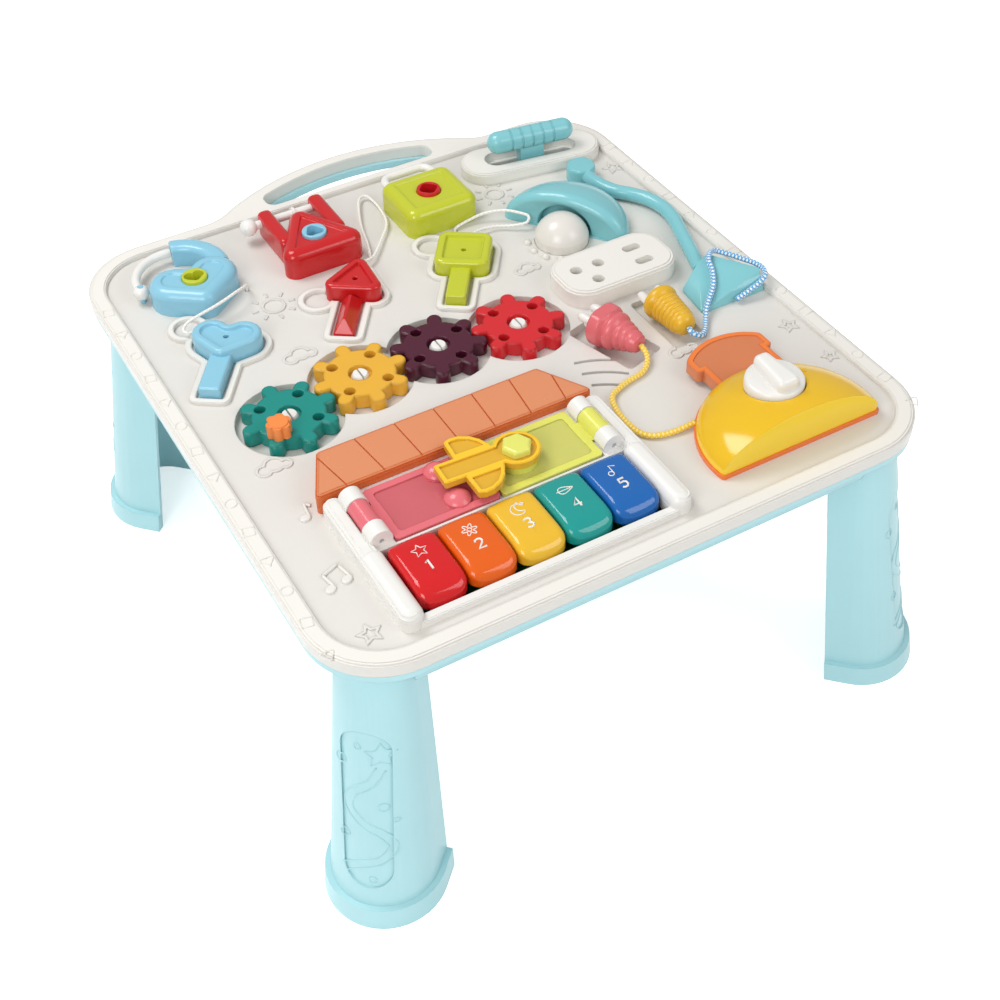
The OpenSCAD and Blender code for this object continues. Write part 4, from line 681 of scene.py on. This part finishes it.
def heart(width, inset=0.0, steps=9):
    """A heart of two lobes and a rounded tip, joined by straight sides and a filleted notch."""
    lobe, tip, notch = 0.27 * width - inset, 0.14 * width - inset, 0.06 * width + inset
    lobe_x, lobe_y = 0.23 * width, 0.06 * width
    way = Vector((lobe_x, lobe_y + 0.28 * width))
    side = math.atan2(way.y, way.x) - math.acos((tip - lobe) / way.length)
    tip_y = -0.28 * width + max(0, 0.4 - tip) / -math.sin(side)
    notch_y = lobe_y + math.sqrt((lobe + notch) ** 2 - lobe_x ** 2)
    into = math.atan2(notch_y - lobe_y, -lobe_x)
    arcs = ((0, tip_y, max(tip, 0.4), -math.pi - side, side), (lobe_x, lobe_y, lobe, side, into),
            (0, notch_y, notch, into - math.pi, -into),
            (-lobe_x, lobe_y, lobe, math.pi - into, math.pi - side))
    return [Vector((x + r * math.cos(a + (b - a) * k / steps), y + r * math.sin(a + (b - a) * k / steps)))
            for x, y, r, a, b in arcs for k in range(steps + 1)]


def triangle(width, radius, inset=0.0):
    return rounded(((-width / 2, -0.29 * width, radius), (width / 2, -0.29 * width, radius),
                    (0, 0.58 * width, radius)), inset, 10)


def square(width, depth, radius, inset=0.0):
    return rounded(rectangle(width, depth, radius), inset, 8)


def evened(outline, longest):
    """The same outline with its long edges divided, alike at any inset."""
    base = outline(0)
    parts = [max(1, math.ceil((q - p).length / longest)) for p, q in zip(base, base[1:] + base[:1])]

    def divided(inset):
        points = outline(inset)
        return [p.lerp(q, k / n) for p, q, n in zip(points, points[1:] + points[:1], parts)
                for k in range(n)]

    return divided


def dish(outline, crest, depth, hole, floor, high):
    """Rings from a block's crest down into its dished top and the round hole in its middle."""
    inner = outline(crest + 1.7)
    return [(outline(crest), high), (outline(crest + 0.5), high - 0.12 * depth),
            (outline(crest + 0.9), high - 0.6 * depth), (outline(crest + 1.2), high - 0.9 * depth),
            (inner, high - depth),
            (circle_of(inner, hole + 0.5), high - depth), (circle_of(inner, hole), high - depth - 0.4),
            (circle_of(inner, hole), floor)]


locks = (
    ("heart", (-136, 139), 18, lambda inset: heart(60, inset), sky_abs, lime_abs,
     lambda inset: heart(13, inset)),
    ("triangle", (-48, 142), 20, lambda inset: triangle(68, 8, inset), red_abs, sky_abs,
     lambda inset: triangle(16, 3, inset)),
    ("square", (42, 147), 20, lambda inset: square(54, 50, 8, inset), lime_abs, red_abs,
     lambda inset: square(10.8, 10.8, 3.2, inset)),
)
rotor_radius, lock_edge = 8.5, 6.5
for shape, at, high, outline, finish, other, keyhole in locks:
    outline, keyhole = evened(outline, 2.5), evened(keyhole, 0.8)
    rings = bullnose(outline, 0, high, lock_edge, 7) + dish(outline, lock_edge + 1.4, 1.4,
                                                            rotor_radius + 0.15, high - 9, high)
    block = lofted(shape + "_lock_body", rings, finish, "table", at)
    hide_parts(shape + "_lock")
    ring = keyhole(0)
    top = high + 0.6
    rings = [(circle_of(ring, rotor_radius), high - 8.5), (circle_of(ring, rotor_radius), top - 1),
             (circle_of(ring, rotor_radius - 0.3), top - 0.3), (circle_of(ring, rotor_radius - 1), top),
             (keyhole(-0.8), top), (keyhole(-0.3), top - 0.2), (ring, top - 0.8), (ring, high - 8)]
    turning = lofted(shape + "_keyhole", rings, other, shape + "_rotor", at,
                     45 if shape == "square" else 0)
    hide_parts(shape + "_rotor")

# The heart lock's hook is a bar with a soft top, bent round the ring's middle.
ring_mid, ring_radius, hook_end = (-141, 158.5), 28.5, 80
hook = [(rounded(((-6.5, -0.5, 0.5), (6.5, -0.5, 0.5), (6.5, 15, 4.5), (-6.5, 15, 4.5)), inset, 5), a)
        for inset, a in [(0, -10 + 6 * k) for k in range(15)] + [(0, 78), (0.4, 79.4), (1.4, hook_end)]]
lofted("heart_lock_hook", hook, sky_abs, "table", ring_mid, 0,
       lambda u, v, a: ((ring_radius + u) * math.cos(math.radians(a)),
                        (ring_radius + u) * math.sin(math.radians(a)), v), 50)
pivot_turn = math.radians(190)
bolt_pivot = (ring_mid[0] + ring_radius * math.cos(pivot_turn),
              ring_mid[1] + ring_radius * math.sin(pivot_turn))
rings = [(oval(1.95, 1.95, 20), h) for h in (-0.5, 12.9)]
lofted("heart_bolt_pin", rings, sky_abs, "table", bolt_pivot)

# The triangle lock's two prongs hold the rod; each is bored through.
bore = 3.15


def prong(inset):
    return rounded(((-38, -14, 0.6), (7.4, -14, 0.6), (7.4, 6.6, 4.5), (-38, 6.6, 4.5)), inset, 5)


rings = [(prong(inset), x) for inset, x in (
    (3.4, -5), (1.7, -4.6), (0.5, -3.4), (0, -1.7), (0, 1.7), (0.5, 3.4), (1.7, 4.6), (3.4, 5))]
rings += [(circle_of(prong(0), bore), 5), (circle_of(prong(0), bore), -5)]
for side in (-1, 1):
    lofted("triangle_lock_prong_%d" % side, rings, red_abs, "table",
           (-48 + 19 * side, 142 + 38), 0, lambda u, v, x: (x, u, v + 12), 40, True)
for node in ("heart_bolt", "triangle_bolt", "square_shackle"):
    dressed(node, white_abs)

# ---- Toy keys ----
# Each key is a thick head with a sunk face and a cord hole, and a plain shank; it lies loose in its bed.

toy_turn, toy_reach, toy_high, shank_high = -35, 50, 13, 9
toys = (
    ("heart", (-140, 78), lambda inset: heart(45, inset), sky_abs, 14),
    ("triangle", (-43, 91), lambda inset: triangle(46, 6, inset), red_abs, 14),
    ("square", (34, 82), lambda inset: square(37, 37, 7, inset), lime_abs, 13.5),
)
for shape, at, outline, finish, wide in toys:
    outline = evened(outline, 2)
    rings = bullnose(outline, 0, toy_high, 2.8) + dish(outline, 4.6, 2.4, 1.8, toy_high - 7, toy_high)
    head = lofted(shape + "_key_head", rings, finish, shape + "_key", at, toy_turn)
    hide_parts(shape + "_key")
    long = toy_reach - 12

    def shank(inset):
        return rounded(rectangle(wide, long, 1.6, 0, -toy_reach + long / 2), inset, 4)

    if shape == "triangle":
        rings = [(shank(0), 0), (shank(0), 2), (shank(0.6), 3), (shank(wide / 2 - 1), 10.4),
                 (shank(wide / 2 - 0.6), 10.6)]
    else:
        rings = bullnose(shank, 0, shank_high, 1.6)
    lofted(shape + "_key_shank", rings, finish, shape + "_key", at, toy_turn)

# ---- Slider, lamp and bulb ----
# The teal grip slides in its block; the lamp of glossy teal ABS has a white push button as its bulb.

aqua_abs = moulded("polished ABS, aqua", "#82c4cb", 0.16, 1.4, 0.01)
dressed("slider_grip", aqua_abs)


def half_oval(width, height, foot=0.0):
    """Half an oval that stands on its straight side, with foot as the side's height."""
    out = [Vector((width * math.cos(a), foot + (height - foot) * math.sin(a)))
           for a in (math.pi * k / 40 for k in range(41))]
    return out + [Vector((width * (k / 6 - 1), foot)) for k in range(1, 12)]


# The shade is half a dome that lies on its cut side's edge; the cut side is its mouth, with a soft edge
# and a hollow for the bulb.
shade_radius, shade_high, mouth_edge = 46, 28, 5.5
rings = []
for degrees in (2, 8, 15, 23, 31, 39, 47, 55, 62, 69, 75, 80, 84):
    far, wide = shade_radius * math.cos(math.radians(degrees)), math.sin(math.radians(degrees))
    if far > mouth_edge - 1:
        rings.append((half_oval(shade_radius * wide, shade_high * wide), far))
for k in range(7):
    a = math.pi / 2 * k / 6
    inset = mouth_edge * (1 - math.cos(a))
    rings.append((half_oval(shade_radius - 0.3 - inset, shade_high - 0.2 - inset),
                  mouth_edge * (1 - math.sin(a)) - 0.8))
rings += [(half_oval(30, 20.5, 0.2), 0.6), (half_oval(21, 19.5, 0.3), 1.2), (half_oval(19.6, 19, 0.4), 2.4),
          (half_oval(19.4, 19, 0.4), 10)]
shade = lofted("lamp_hood", rings, aqua_abs, "table", (110.5, 78.5), 37,
               lambda u, v, d: (d, u, v), 50)
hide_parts("lamp_shade")

# The arm is a round bar; its head is a flat disc behind the shade.
arm = through([on_table(x, y, 5.6) for x, y in (
    (156.7, 130), (157.5, 112), (162.3, 96), (170, 86), (176.4, 76), (179.8, 65), (180.4, 54), (178.4, 42),
    (174.6, 30), (160.6, -14))], 8)
arm_mesh = tubes("lamp_arm_bar", [arm], 0.0049, 28)
arm_mesh.materials.append(aqua_abs)
bar = put("lamp_arm_bar", arm_mesh, "table", 60)
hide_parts("lamp_arm")
disc = oval(10.5, 10.5, 48)
rings = [(disc, 0), (disc, 8.5), ([p * 0.97 for p in disc], 9.9), ([p * 0.9 for p in disc], 10.8),
         ([p * 0.8 for p in disc], 11), ([p * 0.3 for p in disc], 11)]
lofted("lamp_arm_disc", rings, aqua_abs, "table", (156.7, 130))
dressed("lamp_base", aqua_abs)
pearl_abs = moulded("polished ABS, pearl white", "#dedad3", 0.24, 1.2, 0.01, 0.5, 30, 0.012)
dressed("lamp_bulb", pearl_abs)


def studs(name, spots, radius, finish):
    """Round studs of one size on the panel, placed by Geometry Nodes and joined in one mesh."""
    seeds = bpy.data.meshes.new(name + "_places")
    seeds.from_pydata([on_table(*spot) for spot in spots], [], [])
    holder = bpy.data.objects.new(name + "_maker", seeds)
    bpy.context.scene.collection.objects.link(holder)
    tree = bpy.data.node_groups.new(name, "GeometryNodeTree")
    tree.interface.new_socket("Geometry", in_out="INPUT", socket_type="NodeSocketGeometry")
    tree.interface.new_socket("Radius", in_out="INPUT", socket_type="NodeSocketFloat")
    tree.interface.new_socket("Finish", in_out="INPUT", socket_type="NodeSocketMaterial")
    tree.interface.new_socket("Geometry", in_out="OUTPUT", socket_type="NodeSocketGeometry")
    given = add(tree, "NodeGroupInput")
    ball = add(tree, "GeometryNodeMeshIcoSphere", {"Radius": given.outputs["Radius"], "Subdivisions": 4})
    spread = add(tree, "GeometryNodeInstanceOnPoints", {"Points": given.outputs["Geometry"],
                                                        "Instance": ball.outputs["Mesh"]})
    real = add(tree, "GeometryNodeRealizeInstances", {"Geometry": spread.outputs["Instances"]})
    coat = add(tree, "GeometryNodeSetMaterial", {"Geometry": real.outputs["Geometry"],
                                                 "Material": given.outputs["Finish"]})
    add(tree, "NodeGroupOutput", {"Geometry": coat.outputs["Geometry"]})
    maker = holder.modifiers.new("studs", "NODES")
    maker.node_group = tree
    inputs = {item.name: item.identifier for item in tree.interface.items_tree if item.in_out == "INPUT"}
    maker[inputs["Radius"]] = radius / 1000
    maker[inputs["Finish"]] = finish
    bpy.context.view_layer.update()
    evaluated = holder.evaluated_get(bpy.context.evaluated_depsgraph_get())
    mesh = bpy.data.meshes.new_from_object(evaluated)
    bpy.data.objects.remove(holder)
    return put(name, mesh, "table", 60)


# Four pearls in front of the bulb, as its rays of light.
studs("light_pearls", [(104 + 24 * math.cos(math.radians(a)), 70 + 24 * math.sin(math.radians(a)), 0.5)
                       for a in (160, 186, 212, 238)], 2.6, pearl_abs)

# ---- Plugs and toaster ----
# Two soft-looking plugs of satin ABS, and a glossy yellow toaster with a slice that slides in.

pink_abs = moulded("satin ABS, pink", "#d9696f", 0.26, 1.0, 0.02)
gold_abs = moulded("satin ABS, gold", "#e0b02a", 0.26, 1.0, 0.02)
plug_axis = 8
pink_profile = ((12.6, 0), (13.8, 0.5), (14.5, 1.6), (14.5, 7.4), (14, 8.6), (12.6, 9.6), (11.5, 10.4),
                (11.5, 11.4), (12.6, 12.6), (12.9, 14), (12.3, 16), (10.8, 17.6), (9.6, 18.4), (9.6, 19.4),
                (10.2, 20.4), (9.9, 21.8), (8.6, 22.8), (8.4, 23.8), (9, 24.8), (8.6, 26), (7.4, 27),
                (7.2, 28), (7.6, 29), (7.2, 30.4), (6.4, 31.6), (6.2, 33), (5.2, 34), (3, 34.2))
gold_profile = [(10.4, 0), (11.3, 0.4), (12, 1.6), (12, 4), (11.4, 5.4), (9.9, 6.6), (9.4, 7.4)]
for rib in range(6):
    start, wide = 8.2 + 3.4 * rib, 10.6 - 0.35 * rib
    gold_profile += [(wide - 0.5, start), (wide, start + 0.7), (wide, start + 1.7),
                     (wide - 0.5, start + 2.4), (wide - 1.1, start + 2.9)]
gold_profile += [(8, 29), (7.6, 31), (6.2, 33), (4, 34), (2, 34.2)]
plugs = (
    ("pink_plug", (71, -30), 16, pink_abs, pink_profile, ((-6, 3), (6, 3), (0, -6)), 11.6),
    ("yellow_plug", (116, -30), 0, gold_abs, gold_profile, ((-6.5, 0), (6.5, 0)), 14),
)
pin_profile = ((3.1, 1.5), (3.1, -7), (2.9, -9), (2.3, -10.8), (1.4, -11.8), (0.6, -12))
for plug, at, lean, finish, profile, pins, flat in plugs:
    def laid(x, y, z):
        return x, -z, plug_axis + (min(y, flat) if z < 9 else y)

    grip = lofted(plug + "_grip", [(oval(r, r, 48), z) for r, z in profile], finish, plug,
                  at, lean, laid, 60)
    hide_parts(plug)
    for n, (px, pz) in enumerate(pins):
        rings = [(oval(r, r, 48), z) for r, z in pin_profile]
        lofted("%s_pin_%d" % (plug, n), rings, white_abs, plug, at, lean,
               lambda x, y, z: (x + px, -z, plug_axis + y + pz), 60)

yellow_abs = moulded("polished ABS, yellow", "#e7b91f", 0.13, 1.4, 0.01)
# Painted light: the toaster's steep faces are drawn a lighter yellow than its level top, for the light that
# falls on them.
two_toned(yellow_abs, "#f7d233", "slope", 0.3, 0.1)
orange_base_abs = moulded("polished ABS, deep orange", "#e8772f", 0.2, 1.2, 0.01)
dressed("toaster_base", orange_base_abs)
dressed("toaster_cover", yellow_abs)
toast_abs = moulded("satin ABS, toast orange", "#d17c50", 0.3, 0.8, 0.01)
two_toned(toast_abs, "#ee7f38", "height", 10.8, 11.1)
dressed("toast_slice", toast_abs)

# The dial is a shallow disc with a tapered grip across it.
dial_radius, dial_low, dial_high = 18, 23.4, 30.4
disc = oval(dial_radius, dial_radius, 72)
rings = [(disc, dial_low), (disc, dial_high - 2.6), ([p * 0.985 for p in disc], dial_high - 1.2),
         ([p * 0.94 for p in disc], dial_high - 0.3), ([p * 0.88 for p in disc], dial_high),
         ([p * 0.1 for p in disc], dial_high + 0.6)]
face = lofted("dial_disc", rings, white_abs, "toaster_dial", (115, -152))
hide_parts("toaster_dial")


def dial_grip(inset):
    return rounded(((-8, -15, 4), (8, -15, 4), (5.4, 16.5, 4), (-5.4, 16.5, 4)), inset, 6)


rings = bullnose(dial_grip, dial_high - 1, dial_high + 8, 4.4, 7)
lofted("dial_grip", rings, white_abs, "toaster_dial", (115, -152), 0, None, 50)
studs("toaster_mark", [(137.6, -150, 24.2)], 1.6, yellow_abs)

# ---- Floor and light ----
# A pale floor and a soft, even studio light; both show as white behind the table.

stage_mesh = bpy.data.meshes.new("floor")
reach = 6.0
stage_mesh.from_pydata([(-reach, -reach, 0), (reach, -reach, 0), (reach, reach, 0), (-reach, reach, 0)], [],
                       [(0, 1, 2, 3)])
floor = bpy.data.objects.new("floor", stage_mesh)
bpy.context.scene.collection.objects.link(floor)


def seen(tree):
    """1 where the camera, a reflection or a clear part shows the surface, 0 for the light it gives."""
    rays = add(tree, "ShaderNodeLightPath")
    either = add(tree, "ShaderNodeMath", {0: rays.outputs["Is Camera Ray"],
                                          1: rays.outputs["Is Glossy Ray"]}, operation="MAXIMUM")
    shown = add(tree, "ShaderNodeMath", {0: either.outputs[0], 1: rays.outputs["Is Transmission Ray"]},
                operation="MAXIMUM")
    return shown.outputs[0]


# Paper that a photographer lights from below: it shows nearly white and keeps the table's soft shadow.
paper = bpy.data.materials.new("pale paper sweep")
paper.use_nodes = True
tree = paper.node_tree
shader = tree.nodes["Principled BSDF"]
place = add(tree, "ShaderNodeTexCoord")
fibre = add(tree, "ShaderNodeTexNoise", {"Vector": place.outputs["Object"], "Scale": 300.0})
tint = add(tree, "ShaderNodeMix", {"Factor": fibre.outputs["Fac"], "A": linear("#f4f4f4"),
                                   "B": linear("#fafafa")}, data_type="RGBA")
tree.links.new(tint.outputs["Result"], shader.inputs["Base Color"])
shader.inputs["Roughness"].default_value = 0.9
shader.inputs["Specular IOR Level"].default_value = 0
shader.inputs["Emission Color"].default_value = linear("#ffffff")
lift = add(tree, "ShaderNodeMath", {0: seen(tree), 1: 0.55}, operation="MULTIPLY")
tree.links.new(lift.outputs[0], shader.inputs["Emission Strength"])
floor.data.materials.append(paper)

world = bpy.data.worlds.new("studio")
bpy.context.scene.world = world
world.use_nodes = True
tree = world.node_tree
sky = tree.nodes["Background"]
sky.inputs["Color"].default_value = linear("#ffffff")
rays = add(tree, "ShaderNodeLightPath")
level = add(tree, "ShaderNodeMapRange", {"Value": rays.outputs["Is Camera Ray"], "To Min": 0.46,
                                         "To Max": 1.0})
tree.links.new(level.outputs["Result"], sky.inputs["Strength"])

lamps = (
    ("key", (-0.5, 0.55, 1.5), 0.7, 11),
    ("side", (-1.2, -0.9, 1.1), 0.8, 11),
    ("fill", (0.85, -1.3, 1.25), 0.9, 8),
)
for name, spot, size, power in lamps:
    light = bpy.data.lights.new(name, "AREA")
    light.size = size
    light.energy = power
    holder = bpy.data.objects.new(name, light)
    holder.location = spot
    holder.rotation_euler = (Vector((0, 0, 0.2)) - Vector(spot)).to_track_quat("-Z", "Y").to_euler()
    bpy.context.scene.collection.objects.link(holder)

bpy.context.scene.view_settings.view_transform = "Standard"
